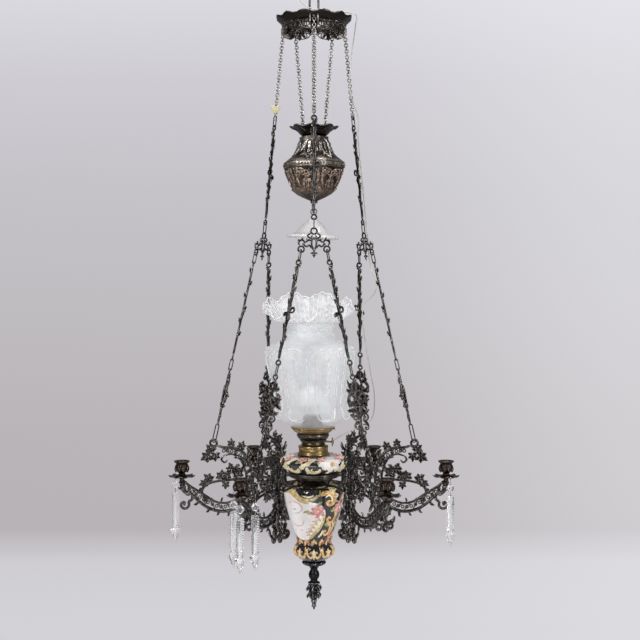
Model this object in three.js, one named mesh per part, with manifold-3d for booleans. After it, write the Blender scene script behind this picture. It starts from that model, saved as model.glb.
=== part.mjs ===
// Hanging oil lamp with six scrolled candle arms, a counterweight on three chains and cut-glass drops.
// Millimetres, +Z up. The origin is the inside top of the hanging loop, where a ceiling hook bears.
import * as THREE from 'three';
import { mergeVertices } from 'three/addons/utils/BufferGeometryUtils.js';
import Module from 'manifold-3d';

const wasm = await Module();
wasm.setup();

// Driving dimensions. GAP is left between pieces that touch, FIT is the play of a pin in its bore,
// and SINK is how deep two joined shapes of one piece run into each other.
const GAP = 0.3;
const FIT = 0.35;
const SINK = 0.4;

// Hanging loop and pulley frame
const LOOP_WIRE = 5;
const LOOP_WIDTH = 24;
const LOOP_LENGTH = 50;
const STEM_RADIUS = 4;
const HUB_RADIUS = 12;
const HUB_HEIGHT = 12;
const NUT_RADIUS = 8;
const NUT_HEIGHT = 6;
const FRAME_ARM_WIDTH = 8;
const FRAME_ARM_HEIGHT = 8;
const CHEEK_THICKNESS = 3;
const CHEEK_HEIGHT = 12;
const CHEEK_NOSE = 8;

// Pulleys and their pins
const PULLEY_CENTRE_RADIUS = 62.4;
const PULLEY_PITCH_RADIUS = 15;
const PULLEY_FLANGE_DEPTH = 2.6;
const PULLEY_FLANGE_THICKNESS = 1.7;
const PULLEY_DROP = 6;
const PIN_RADIUS = 2.5;
const PIN_HEAD_RADIUS = 4;
const PIN_HEAD_THICKNESS = 1.5;

// Canopy crown
const CROWN_RIM_RADIUS = 82;
const CROWN_WAIST_RADIUS = 68;
const CROWN_FOOT_RADIUS = 70;
const CROWN_HEIGHT = 40;
const CROWN_WALL = 3;
const CROWN_LOBES = 6;
const CROWN_LOBE_DROP = 9;
const CROWN_SCALLOP = 2;
const CROWN_WINDOW_WIDTH = 17;
const CROWN_WINDOW_HEIGHT = 15;
const CROWN_SLOT_DROP = 9;

// Chains: one flat open unit for each pitch
const CHAIN_PITCH = 12.5;
const CHAIN_WIDTH = 8.5;
const CHAIN_HOLE_WIDTH = 4.6;
const CHAIN_HOLE_LENGTH = 8.4;
const CHAIN_THICKNESS = 2;
const CHAIN_KNOT_THICKNESS = 3.2;
const CHAIN_OUTER_RUN = 189;
const CHAIN_INNER_RUN = 210;

// Oblong links between the castings of a hanger
const LINK_WIRE = 2.2;
const LINK_WIDTH = 8.8;
const LINK_LENGTH = 27;
const BRACKET_LINK_WIDTH = 11;
const ARM_LINK_WIDTH = 11;
const ARM_LINK_LENGTH = 42;

// Flat castings of the hangers
const CASTING_THICKNESS = 3.4;
const EYE_RADIUS = 6.4;
const EYE_HOLE = 3.5;
const EYE_SIDES = 6;
const EYE_HOLE_SIDES = 6;
const UPPER_BAR_LENGTH = 208;
const LOWER_BAR_LENGTH = 209;
const BAR_HALF_WIDTH = 2.2;
const BAR_LEAF = 3.4;
const BAR_LEAVES = 3;
const BOW_WIDTH = 13;
const BOW_HEIGHT = 20;
const CARTOUCHE_LENGTH = 118;
const CARTOUCHE_WIDTH = 58;
const BRACKET_RADIUS = 127;
const BRACKET_HEIGHT = 61;
const BRACKET_WIDTH = 68;
const BRACKET_EYE = 7.8;
const BRACKET_EYE_HOLE = 5.2;

// Arms
const ARM_THICKNESS = 5;
const ARM_RING_RADIUS = 216;
const ARM_RING_OUTER = 9;
const ARM_RING_HOLE = 5.4;
const ARM_RING_RISE = 70;
const ARM_REACH = 284;
const ARM_RAIL = 3.4;
const ARM_VASE_CLEARANCE = 2.5;
const ARM_PAD_RADIUS = 6;
const ARM_PAD_DROP = 16;
const SCROLL_RADIUS = 40;
const FOOT_EYE = 13;
const FOOT_EYE_HOLE = 6;

// Candle cups
const CUP_STEM_RADIUS = 6;
const CUP_STEM_HEIGHT = 14;
const BOBECHE_RADIUS = 29;
const BOBECHE_THICKNESS = 2.5;
const CUP_RADIUS = 16;
const CUP_HEIGHT = 34;
const CANDLE_BORE_RADIUS = 11;
const CANDLE_BORE_DEPTH = 20;

// Cut-glass drops
const BEAD_RADIUS = 7;
const BEAD_THICKNESS = 7;
const SPEAR_LENGTH = 100;
const SPEAR_WIDTH = 19;
const SPEAR_THICKNESS = 8;
const BEAD_SPACE = 3;
const DROP_WIRE = 1.2;
const DROP_RING_RADIUS = 3.4;
const DROP_HOLE_RADIUS = 1.6;
const DROP_HOLE_INSET = 4;

// Counterweight and smoke bell
const WEIGHT_DISH_RADIUS = 50;
const WEIGHT_DISH_DEPTH = 18;
const WEIGHT_FOOT_RADIUS = 30;
const WEIGHT_SHOULDER_RADIUS = 31;
const WEIGHT_BELL_HEIGHT = 62;
const WEIGHT_RADIUS = 67;
const WEIGHT_BOWL_HEIGHT = 77;
const WEIGHT_WALL = 2.4;
const WEIGHT_BAND = 5;
const WEIGHT_TURN = -16.5;
const WEIGHT_SIDES = 6;
const WEIGHT_FLATNESS = 0.1;
const COVER_FLOOR = 8;
const BALLAST_SPACE = 1.2;
const WEIGHT_ROD_RADIUS = 4;
const WEIGHT_EAR_RADIUS = 27;
const WEIGHT_EYE_RADIUS = 8;
const ROD_COLLAR_RADIUS = 8;
const ROD_COLLAR_HEIGHT = 4;
const BELL_RADIUS = 56;
const BELL_HEIGHT = 50;
const BELL_WALL = 3;
const BELL_TILT = 3;
const BELL_RING_RADIUS = 7;

// Column, stacked up and down from the rim of the font holder
const HOLDER_RADIUS = 57;
const HOLDER_LIP = 6;
const HOLDER_WALL = 3;
const HOLDER_CONE_HEIGHT = 24;
const HOLDER_FOOT_RADIUS = 26;
const FONT_RADIUS = 70;
const FONT_HEIGHT = 44;
const FONT_BASE_RADIUS = 50;
const FONT_NECK_RADIUS = 40;
const FONT_WALL = 4;
const FONT_MOUTH_RADIUS = 24;
const COLLAR_RADIUS = 31.5;
const COLLAR_HEIGHT = 21;
const COLLAR_FLANGE_RADIUS = 34;
const COLLAR_FLANGE_HEIGHT = 6;
const BURNER_RADIUS = 34;
const BURNER_HEIGHT = 25;
const BURNER_NECK_RADIUS = 25;
const BURNER_DRUM_HEIGHT = 11;
const BURNER_BORE_RADIUS = 18;
const BURNER_WALL = 2.5;
const GALLERY_RADIUS = 47;
const GALLERY_HEIGHT = 14;
const GALLERY_WALL = 2.2;
const KNOB_RADIUS = 9;
const KNOB_THICKNESS = 3.5;
const KNOB_SHAFT_RADIUS = 1.8;
const KNOB_SHAFT_LENGTH = 28;
const KNOB_AZIMUTH = 0;
const SOCKET_RADIUS = 11;
const SOCKET_HEIGHT = 56;
const BULB_RADIUS = 34;
const BULB_NECK_RADIUS = 8;
const BULB_NECK_LENGTH = 14;
const SHADE_RADIUS = 97;
const SHADE_BODY_HEIGHT = 165;
const SHADE_SHOULDER = 32;
const SHADE_PANELS = 8;
const SHADE_LOBE = 0.05;
const SHADE_WALL = 3.2;
const SHADE_NECK_RADIUS = 54;
const SHADE_NECK_HEIGHT = 52;
const SHADE_SEAT_RADIUS = 42;
const SHADE_RUFFLE_RADIUS = 92;
const SHADE_RUFFLE_HEIGHT = 52;
const SHADE_RUFFLE_WAVE = 13;
const VASE_RADIUS = 64;
const VASE_HEIGHT = 118;
const VASE_WALL = 4;
const VASE_TAPER = 1.8;
const VASE_WAIST_RADIUS = 35;
const VASE_BULB_RADIUS = 43;
const VASE_BULB_HEIGHT = 42;
const VASE_FOOT_RADIUS = 22;
const TIE_ROD_RADIUS = 4;
const FINIAL_FLANGE_RADIUS = 26;
const FINIAL_NECK_RADIUS = 9;
const FINIAL_KNOB_RADIUS = 11.5;
const FINIAL_DROP_WIDTH = 30;
const FINIAL_DROP_LENGTH = 62;
const FINIAL_DROP_THICKNESS = 5;
const FINIAL_FLANGE_HEIGHT = 12;

// Electric cord that was led to the lamp later, and its connector above the canopy
const CORD_RADIUS = 1.2;
const CORD_STEPS = 40;
const CORD_STANDOFF = 9;
const CORD_AZIMUTH = 30;
const CONNECTOR_RADIUS = 5;
const CONNECTOR_LENGTH = 24;
const CONNECTOR_AZIMUTH = 215;
const CONNECTOR_PLACE = 40;

// Where the three chains hang, as azimuths in degrees from +X
const CHAINS = [
  { name: 'front', azimuth: 270 },
  { name: 'right', azimuth: 30 },
  { name: 'left', azimuth: 150 },
];

// Each bracket serves the two arms that stand this far to either side of it
const ARM_SPREAD = 30;

// The drops: the arm that carries each, and its place round the bobeche from the arm's own direction
const DROPS = [
  { name: 'drop_left', azimuth: 180, turn: -54 },
  { name: 'drop_right', azimuth: 0, turn: -77 },
  { name: 'drop_front_outer', azimuth: 240, turn: -114 },
  { name: 'drop_front_middle', azimuth: 240, turn: 30 },
  { name: 'drop_front_inner', azimuth: 240, turn: 118 },
];

const radians = THREE.MathUtils.degToRad;
const group = new THREE.Group();

const finishes = {
  bronze: { color: 0x3a3531, roughness: 0.5, metalness: 0.8 },
  steel: { color: 0x8d8a86, roughness: 0.35, metalness: 0.9 },
  weight: { color: 0x6a5548, roughness: 0.45, metalness: 0.8 },
  lead: { color: 0x55565a, roughness: 0.7, metalness: 0.6 },
  opal: { color: 0xf4f3f2, roughness: 0.15, metalness: 0 },
  frosted: { color: 0xe6e8ec, roughness: 0.5, metalness: 0 },
  crystal: { color: 0xf2f5f8, roughness: 0.05, metalness: 0 },
  brass: { color: 0x9a8348, roughness: 0.35, metalness: 0.9 },
  glaze: { color: 0xd8c9a0, roughness: 0.15, metalness: 0 },
  plastic: { color: 0xd9d6c8, roughness: 0.5, metalness: 0 },
};

// Adds one named piece to the lamp, turned about Z if it belongs to one of the arms or chains.
function addPiece(name, geometry, finish, azimuth = 0) {
  const mesh = new THREE.Mesh(geometry, new THREE.MeshStandardMaterial(finishes[finish]));
  mesh.name = name;
  mesh.rotation.z = radians(azimuth);
  group.add(mesh);
}

// A closed geometry as a solid that can be joined and cut.
function solid(geometry) {
  const plain = geometry.clone();
  plain.deleteAttribute('normal');
  plain.deleteAttribute('uv');
  const merged = mergeVertices(plain, 1e-4);
  return new wasm.Manifold(new wasm.Mesh({
    numProp: 3,
    vertProperties: new Float32Array(merged.attributes.position.array),
    triVerts: new Uint32Array(merged.index.array),
  }));
}

// A solid back to a geometry.
function geometryOf(body) {
  const mesh = body.getMesh();
  const geometry = new THREE.BufferGeometry();
  geometry.setAttribute('position', new THREE.BufferAttribute(mesh.vertProperties, 3));
  geometry.setIndex(new THREE.BufferAttribute(mesh.triVerts, 1));
  geometry.computeVertexNormals();
  return geometry;
}

function join(...geometries) {
  return geometries.map(solid).reduce((sum, part) => sum.add(part));
}

// Revolves a closed profile of [radius, height] points about Z, drawn anticlockwise.
function revolve(profile, segments) {
  const points = profile.map(([r, z]) => new THREE.Vector2(r, z));
  if (profile[0][0] > 0) points.push(points[0].clone());
  return new THREE.LatheGeometry(points, segments).rotateX(Math.PI / 2);
}

// Moves every vertex by a function of its position.
function reshape(geometry, move) {
  const { position } = geometry.attributes;
  const point = new THREE.Vector3();
  for (let i = 0; i < position.count; i += 1) {
    move(point.fromBufferAttribute(position, i));
    position.setXYZ(i, point.x, point.y, point.z);
  }
  return geometry;
}

// Scales a revolved piece's radius by a function of its angle and place, to give lobes or flat sides.
function reshapeRadius(geometry, share) {
  return reshape(geometry, (p) => {
    const k = share(Math.atan2(p.y, p.x), Math.hypot(p.x, p.y), p.z);
    p.x *= k;
    p.y *= k;
  });
}

// A ring of round wire stretched to an oblong along Z. It lies in the YZ plane, its top at the origin.
function oblongLink(length, width) {
  const ring = new THREE.TorusGeometry((width - LINK_WIRE) / 2, LINK_WIRE / 2, 3, 6);
  const stretch = (length - width) / 2;
  reshape(ring, (p) => { p.x += Math.sign(p.x) * stretch; });
  return ring.rotateY(Math.PI / 2).translate(0, 0, -length / 2);
}

// Corners of a regular polygon with a flat side on top.
function polygon(x, y, radius, sides) {
  return Array.from({ length: sides }, (unused, i) => {
    const angle = Math.PI / 2 + ((i + 0.5) / sides) * 2 * Math.PI;
    return new THREE.Vector2(x + radius * Math.cos(angle), y + radius * Math.sin(angle));
  });
}

// A ring outline: an eye of a casting.
function eye(x, y, outer, hole, sides = EYE_SIDES) {
  const shape = new THREE.Shape(polygon(x, y, outer, sides));
  shape.holes.push(new THREE.Path(polygon(x, y, hole, EYE_HOLE_SIDES)));
  return shape;
}

// A flat ribbon of changing half width along a smooth line.
function ribbon(points, widths, samples) {
  const curve = new THREE.SplineCurve(points.map(([x, y]) => new THREE.Vector2(x, y)));
  const left = [];
  const right = [];
  for (let i = 0; i <= samples; i += 1) {
    const t = i / samples;
    const centre = curve.getPoint(t);
    const along = curve.getTangent(t);
    const place = t * (widths.length - 1);
    const step = Math.min(Math.floor(place), widths.length - 2);
    const half = THREE.MathUtils.lerp(widths[step], widths[step + 1], place - step);
    left.push(new THREE.Vector2(centre.x - along.y * half, centre.y + along.x * half));
    right.unshift(new THREE.Vector2(centre.x + along.y * half, centre.y - along.x * half));
  }
  return new THREE.Shape([...left, ...right]);
}

// A leaf with pointed lobes.
function leaf(x, y, size, turn, lobes = 5) {
  return new THREE.Shape(Array.from({ length: lobes * 2 }, (unused, i) => {
    const angle = turn + (i / (lobes * 2)) * 2 * Math.PI;
    const reach = i % 2 === 0 ? size : size * 0.55;
    return new THREE.Vector2(x + reach * Math.cos(angle), y + reach * Math.sin(angle));
  }));
}

// A plate of one outline, drawn in XZ and centred on Y = 0.
function plate(shape, thickness) {
  const slab = new THREE.ExtrudeGeometry(shape, { depth: thickness, bevelEnabled: false });
  return slab.translate(0, 0, -thickness / 2).rotateX(Math.PI / 2);
}

// Traces the joined outlines of a flat solid as one shape, without the points that lie on a straight run.
function trace(body, thickness) {
  const { vertProperties: at, triVerts } = body.getMesh();
  const onFace = (v) => Math.abs(at[v * 3 + 1] + thickness / 2) < 1e-3;
  const key = (v) => `${at[v * 3].toFixed(3)},${at[v * 3 + 2].toFixed(3)}`;
  const edges = new Map();
  for (let t = 0; t < triVerts.length; t += 3) {
    const corners = [triVerts[t], triVerts[t + 1], triVerts[t + 2]];
    if (corners.every(onFace)) {
      corners.forEach((v, i) => edges.set(`${key(v)};${key(corners[(i + 1) % 3])}`, true));
    }
  }
  const next = new Map();
  edges.forEach((unused, edge) => {
    const [from, to] = edge.split(';');
    if (!edges.has(`${to};${from}`)) next.set(from, [...(next.get(from) ?? []), to]);
  });
  const loops = [];
  while (next.size > 0) {
    const [start] = next.keys();
    const loop = [];
    let here = start;
    do {
      loop.push(new THREE.Vector2(...here.split(',').map(Number)));
      const ways = next.get(here);
      const onward = ways.pop();
      if (ways.length === 0) next.delete(here);
      here = onward;
    } while (here !== start);
    loops.push(loop.filter((p, i) => bends(loop.at(i - 1), p, loop[(i + 1) % loop.length])));
  }
  loops.sort((a, b) => Math.abs(THREE.ShapeUtils.area(b)) - Math.abs(THREE.ShapeUtils.area(a)));
  const shape = new THREE.Shape(loops[0]);
  shape.holes = loops.slice(1).filter((loop) => Math.abs(THREE.ShapeUtils.area(loop)) > 1)
    .map((loop) => new THREE.Path(loop));
  return shape;
}

// Whether a line of three points turns at the middle one by more than a hair.
function bends(before, here, after) {
  const turn = (here.x - before.x) * (after.y - here.y) - (here.y - before.y) * (after.x - here.x);
  return Math.abs(turn) > 0.02 * here.distanceTo(before) + 1e-3;
}

// Several outlines joined into one flat casting.
function casting(shapes, thickness) {
  const body = join(...shapes.map((shape) => plate(shape, thickness)));
  return plate(trace(body, thickness), thickness);
}

// Sets a piece drawn hanging from the origin (X across, Y through, -Z down) along a line in space.
function hang(geometry, top, down, across) {
  const z = down.clone().normalize().negate();
  const x = across.clone().addScaledVector(z, -across.dot(z)).normalize();
  const y = new THREE.Vector3().crossVectors(z, x);
  const frame = new THREE.Matrix4().makeBasis(x, y, z).setPosition(top);
  return geometry.applyMatrix4(frame);
}

// Levels of the canopy
const hubTop = -(LOOP_LENGTH - LOOP_WIRE) - SINK;
const crownTop = hubTop - GAP;
const pulleyHeight = crownTop - PULLEY_PITCH_RADIUS - PULLEY_FLANGE_DEPTH - PULLEY_DROP;
const slotTop = crownTop - CROWN_SLOT_DROP;
const pulleyWidth = CHAIN_WIDTH + 1 + 2 * PULLEY_FLANGE_THICKNESS;
const pulleyRadius = PULLEY_PITCH_RADIUS + PULLEY_FLANGE_DEPTH;
const unitAngle = CHAIN_PITCH / PULLEY_PITCH_RADIUS;
const grooveRadius = (PULLEY_PITCH_RADIUS - CHAIN_KNOT_THICKNESS / 2) * Math.cos(unitAngle / 2);
const cheekInner = pulleyWidth / 2 + FIT;
const cheekOuter = cheekInner + CHEEK_THICKNESS;
const pinEnd = cheekOuter + GAP + PIN_HEAD_THICKNESS;

// Steps from a link's top to the centre of the eye that it carries, and from an eye to the link below
const linkToEye = LINK_LENGTH - LINK_WIRE + EYE_HOLE;
const flat = Math.cos(Math.PI / EYE_HOLE_SIDES);
const swivel = (thickness) => thickness / EYE_HOLE_SIDES * 2;
const eyeToLink = EYE_HOLE * flat - GAP - LINK_WIRE - swivel(CASTING_THICKNESS);
const wireRest = (LINK_WIRE * CHAIN_HOLE_LENGTH) / CHAIN_HOLE_WIDTH / 2;
const chainEndBar = (CHAIN_PITCH - CHAIN_HOLE_LENGTH) / 2 + wireRest;
const upperLinkTop = CHAIN_OUTER_RUN - chainEndBar - GAP - LINK_WIRE;
const upperEye = upperLinkTop + linkToEye - SINK;
const bracketLinkTop = upperEye + UPPER_BAR_LENGTH + eyeToLink;
const bracketTop = bracketLinkTop + LINK_LENGTH - LINK_WIRE + BRACKET_EYE_HOLE - SINK;

// The chain leaves the pulley on a line that turns outwards so far that it meets the given radius.
function tangentAngle(run, reach) {
  return Math.asin(reach / Math.hypot(PULLEY_PITCH_RADIUS, run)) - Math.atan2(PULLEY_PITCH_RADIUS, run);
}

const outerAngle = tangentAngle(bracketTop, BRACKET_RADIUS - PULLEY_CENTRE_RADIUS);
const innerAngle = tangentAngle(CHAIN_INNER_RUN, PULLEY_CENTRE_RADIUS - WEIGHT_EAR_RADIUS);

// A point on a chain's line, at a distance below the pulley, for a chain at azimuth 0. Side is 1 or -1.
function onLine(angle, side, distance) {
  const across = PULLEY_PITCH_RADIUS * Math.cos(angle) + distance * Math.sin(angle);
  const rise = PULLEY_PITCH_RADIUS * Math.sin(angle) - distance * Math.cos(angle);
  return new THREE.Vector3(PULLEY_CENTRE_RADIUS + side * across, 0, pulleyHeight + rise);
}

const outerDown = new THREE.Vector3(Math.sin(outerAngle), 0, -Math.cos(outerAngle));
const tangential = new THREE.Vector3(0, 1, 0);

// Bracket eyes, and the length from such an eye to an arm's ring
const bracketEyeDrop = BRACKET_HEIGHT * 0.61;
const bracketEyeSpread = BRACKET_WIDTH / 2 - BRACKET_EYE;
const lowerLinkTop = BRACKET_EYE_HOLE * flat - GAP - LINK_WIRE - swivel(CASTING_THICKNESS * 2);
const lowerEye = lowerLinkTop + linkToEye - SINK;
const cartoucheLinkTop = lowerEye + LOWER_BAR_LENGTH + EYE_HOLE * flat - LINK_WIRE + SINK;
const cartoucheTop = cartoucheLinkTop + linkToEye - SINK;
const armLinkTop = cartoucheTop + CARTOUCHE_LENGTH - LINK_WIRE - SINK;
const lowerLength = armLinkTop + ARM_LINK_LENGTH - LINK_WIRE + ARM_RING_HOLE * flat - GAP
  - swivel(ARM_THICKNESS);

const bracketEye = onLine(outerAngle, 1, bracketTop + bracketEyeDrop).setY(bracketEyeSpread);
const ringAcross = new THREE.Vector2(ARM_RING_RADIUS, 0).rotateAround(new THREE.Vector2(), radians(ARM_SPREAD));
const sideways = Math.hypot(ringAcross.x - bracketEye.x, ringAcross.y - bracketEye.y);
const armRingHeight = bracketEye.z - Math.sqrt(lowerLength ** 2 - sideways ** 2);

// Levels of the column
const holderTop = armRingHeight - ARM_RING_RISE;
const fontBase = holderTop + GAP;
const collarBase = fontBase + FONT_HEIGHT + GAP;
const burnerBase = collarBase + COLLAR_HEIGHT + GAP;
const galleryBase = burnerBase + BURNER_HEIGHT + GAP;
const shadeBase = galleryBase + GALLERY_WALL + GAP;
const shaftHeight = burnerBase + BURNER_DRUM_HEIGHT * 0.6;
const socketBase = burnerBase + BURNER_WALL + GAP;
const socketTop = socketBase + SOCKET_HEIGHT;
const holderBase = holderTop - HOLDER_LIP - HOLDER_CONE_HEIGHT;
const vaseTop = holderBase - GAP;
const vaseFoot = vaseTop - VASE_HEIGHT - VASE_BULB_HEIGHT;
const finialTop = vaseFoot - GAP;
const panHeight = holderTop - ARM_PAD_DROP + GAP + CUP_STEM_HEIGHT;

// Levels of the counterweight and of the cord's end
const earTop = CHAIN_INNER_RUN - chainEndBar - GAP - LINK_WIRE;
const earFoot = onLine(innerAngle, -1, earTop + LINK_LENGTH).z;
const coverBase = earFoot - COVER_FLOOR / 2;
const shellTop = coverBase - GAP;
const shellBase = shellTop - WEIGHT_BELL_HEIGHT - WEIGHT_BOWL_HEIGHT;
const weightEye = shellBase - GAP - ROD_COLLAR_HEIGHT - WEIGHT_EYE_RADIUS + SINK;
const bellRingTop = weightEye - WEIGHT_EYE_RADIUS + LINK_WIRE + GAP * 3;
const connectorBase = LOOP_WIRE;

// The loop that a ceiling hook takes: an oblong ring with a threaded stem and a nut below the hub.
function hangingLoop() {
  const ring = new THREE.TorusGeometry((LOOP_WIDTH - LOOP_WIRE) / 2, LOOP_WIRE / 2, 5, 10);
  const stretch = (LOOP_LENGTH - LOOP_WIDTH) / 2;
  reshape(ring.rotateZ(Math.PI / 2), (p) => { p.y += Math.sign(Math.round(p.y * 100)) * stretch; });
  ring.rotateX(Math.PI / 2).translate(0, 0, LOOP_WIRE - LOOP_LENGTH / 2);
  const stemTop = hubTop + GAP + SINK * 2;
  const nutTop = hubTop - HUB_HEIGHT - GAP;
  const stem = revolve([
    [0, nutTop - NUT_HEIGHT],
    [NUT_RADIUS, nutTop - NUT_HEIGHT],
    [NUT_RADIUS, nutTop],
    [STEM_RADIUS, nutTop],
    [STEM_RADIUS, hubTop + GAP],
    [LOOP_WIRE, hubTop + GAP],
    [LOOP_WIRE, stemTop + LOOP_WIRE / 2],
    [0, stemTop + LOOP_WIRE / 2],
  ], 6);
  return geometryOf(join(ring, stem));
}

// Hub with three arms, each ending in a fork whose cheeks carry a pulley pin.
function pulleyFrame() {
  const hub = revolve([
    [STEM_RADIUS + FIT, hubTop - HUB_HEIGHT],
    [HUB_RADIUS, hubTop - HUB_HEIGHT],
    [HUB_RADIUS, hubTop],
    [STEM_RADIUS + FIT, hubTop],
  ], 8);
  const forkRoot = PULLEY_CENTRE_RADIUS - pulleyRadius - CHAIN_KNOT_THICKNESS - FRAME_ARM_WIDTH;
  const armLength = forkRoot + SINK - HUB_RADIUS * 0.8;
  const arm = new THREE.BoxGeometry(armLength, FRAME_ARM_WIDTH, FRAME_ARM_HEIGHT);
  arm.translate(HUB_RADIUS * 0.8 + armLength / 2, 0, hubTop - FRAME_ARM_HEIGHT / 2);
  const root = new THREE.BoxGeometry(FRAME_ARM_WIDTH, cheekOuter * 2, FRAME_ARM_HEIGHT);
  root.translate(forkRoot + FRAME_ARM_WIDTH / 2, 0, hubTop - FRAME_ARM_HEIGHT / 2);
  const cheek = () => {
    const shape = new THREE.Shape([
      [forkRoot, hubTop],
      [forkRoot, hubTop - FRAME_ARM_HEIGHT],
      [PULLEY_CENTRE_RADIUS - CHEEK_HEIGHT / 2, pulleyHeight - CHEEK_HEIGHT / 2],
      [PULLEY_CENTRE_RADIUS + CHEEK_HEIGHT / 3, pulleyHeight - CHEEK_HEIGHT / 2],
      [PULLEY_CENTRE_RADIUS + CHEEK_HEIGHT / 2, pulleyHeight],
      [CROWN_WAIST_RADIUS + CHEEK_NOSE, slotTop - GAP - 3],
      [CROWN_WAIST_RADIUS + CHEEK_NOSE, slotTop - GAP],
      [CROWN_WAIST_RADIUS + CHEEK_NOSE / 2, slotTop - GAP],
      [PULLEY_CENTRE_RADIUS + CHEEK_HEIGHT / 3, hubTop],
    ].map(([x, y]) => new THREE.Vector2(x, y)));
    shape.holes.push(new THREE.Path(polygon(PULLEY_CENTRE_RADIUS, pulleyHeight, PIN_RADIUS + 2 * FIT, 6)));
    return plate(shape, CHEEK_THICKNESS);
  };
  const fork = [cheek().translate(0, -cheekInner - CHEEK_THICKNESS / 2, 0),
    cheek().translate(0, cheekInner + CHEEK_THICKNESS / 2, 0), arm, root];
  const arms = CHAINS.map(({ azimuth }) => join(...fork.map((g) => g.clone().rotateZ(radians(azimuth)))));
  return geometryOf(arms.reduce((sum, part) => sum.add(part), solid(hub)));
}

// A grooved wheel lying on its side, set at azimuth 0 with its axle along Y.
function pulleyWheel() {
  const half = pulleyWidth / 2;
  const groove = half - PULLEY_FLANGE_THICKNESS;
  return revolve([
    [PIN_RADIUS + FIT, -half],
    [pulleyRadius, -half],
    [grooveRadius, -groove],
    [grooveRadius, groove],
    [pulleyRadius, half],
    [PIN_RADIUS + FIT, half],
  ], 10).rotateX(Math.PI / 2).translate(PULLEY_CENTRE_RADIUS, 0, pulleyHeight);
}

function pulleyPin() {
  return revolve([
    [0, -pinEnd],
    [PIN_HEAD_RADIUS, -pinEnd],
    [PIN_HEAD_RADIUS, -cheekOuter - GAP],
    [PIN_RADIUS, -cheekOuter - GAP],
    [PIN_RADIUS, pinEnd],
    [0, pinEnd],
  ], 6).rotateX(Math.PI / 2).translate(PULLEY_CENTRE_RADIUS, 0, pulleyHeight);
}

// The crown: a flared openwork ring with scalloped rim, drooping lobes, and a slot for each pulley.
function canopyCrown() {
  const foot = crownTop - CROWN_HEIGHT;
  const neck = crownTop - CROWN_HEIGHT * 0.5;
  const ring = revolve([
    [CROWN_FOOT_RADIUS - CROWN_WALL, foot],
    [CROWN_FOOT_RADIUS, foot],
    [CROWN_WAIST_RADIUS, neck],
    [CROWN_RIM_RADIUS, crownTop - CROWN_WALL],
    [CROWN_RIM_RADIUS, crownTop],
    [CROWN_WAIST_RADIUS - CROWN_WALL, neck],
  ], CROWN_LOBES * 4);
  reshape(ring, (p) => {
    const angle = Math.atan2(p.y, p.x);
    const droop = Math.max(0, Math.cos(CROWN_LOBES * (angle - radians(90)))) ** 2;
    if (p.z < foot + 1) p.z -= CROWN_LOBE_DROP * droop;
    if (p.z > neck + 1) {
      const k = 1 + (CROWN_SCALLOP / CROWN_RIM_RADIUS) * Math.cos(CROWN_LOBES * 2 * angle);
      p.x *= k;
      p.y *= k;
    }
  });
  let crown = solid(ring);
  const slotHeight = CROWN_HEIGHT + CROWN_LOBE_DROP;
  const slot = new THREE.BoxGeometry(CROWN_RIM_RADIUS, 2 * (pinEnd + GAP), slotHeight);
  slot.translate(CROWN_WAIST_RADIUS + CROWN_RIM_RADIUS * 0.25, 0, slotTop - slotHeight / 2);
  const opening = new THREE.Shape(polygon(0, 0, CROWN_WINDOW_HEIGHT / 2, 4));
  const window = plate(opening, CROWN_RIM_RADIUS).scale(CROWN_WINDOW_WIDTH / CROWN_WINDOW_HEIGHT, 1, 1);
  window.translate(0, -CROWN_WAIST_RADIUS, crownTop - CROWN_HEIGHT * 0.62);
  CHAINS.forEach(({ azimuth }) => {
    crown = crown.subtract(solid(slot.clone().rotateZ(radians(azimuth))));
    [40, 80].forEach((turn) => {
      crown = crown.subtract(solid(window.clone().rotateZ(radians(azimuth + 90 + turn))));
    });
  });
  return geometryOf(crown);
}

// One chain: up the outer run, over the pulley and down the inner run, as a strip of open units.
function chain() {
  const arc = PULLEY_PITCH_RADIUS * (Math.PI - outerAngle - innerAngle);
  const total = CHAIN_OUTER_RUN + arc + CHAIN_INNER_RUN;
  const units = Math.round(total / CHAIN_PITCH);
  const pitch = total / units;
  const first = Math.floor(CHAIN_OUTER_RUN / pitch);
  const last = Math.ceil((CHAIN_OUTER_RUN + arc) / pitch);
  const strips = [chainStrip(0, first, pitch), chainStrip(last, units, pitch)];
  for (let i = first; i < last; i += 1) strips.push(chainStrip(i, i + 1, pitch));
  return geometryOf(join(...strips.map((strip) => wind(strip, arc))));
}

// A flat strip of the chain's units: X along it, Y across and Z through.
function chainStrip(from, to, pitch) {
  const half = CHAIN_WIDTH / 2;
  const middles = Array.from({ length: to - from }, (unused, i) => (from + i + 0.5) * pitch);
  const edge = [from * pitch, ...(to - from === 1 ? middles : []), to * pitch];
  const shape = new THREE.Shape(outline([
    ...edge.map((x) => [x, -half]),
    ...edge.reverse().map((x) => [x, half]),
  ]));
  shape.holes = middles.map((x) => new THREE.Path(outline([
    [x - CHAIN_HOLE_LENGTH / 2, 0],
    [x, CHAIN_HOLE_WIDTH / 2],
    [x + CHAIN_HOLE_LENGTH / 2, 0],
    [x, -CHAIN_HOLE_WIDTH / 2],
  ])));
  return new THREE.ExtrudeGeometry(shape, { depth: 1, bevelEnabled: false }).translate(0, 0, -0.5);
}

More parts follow.
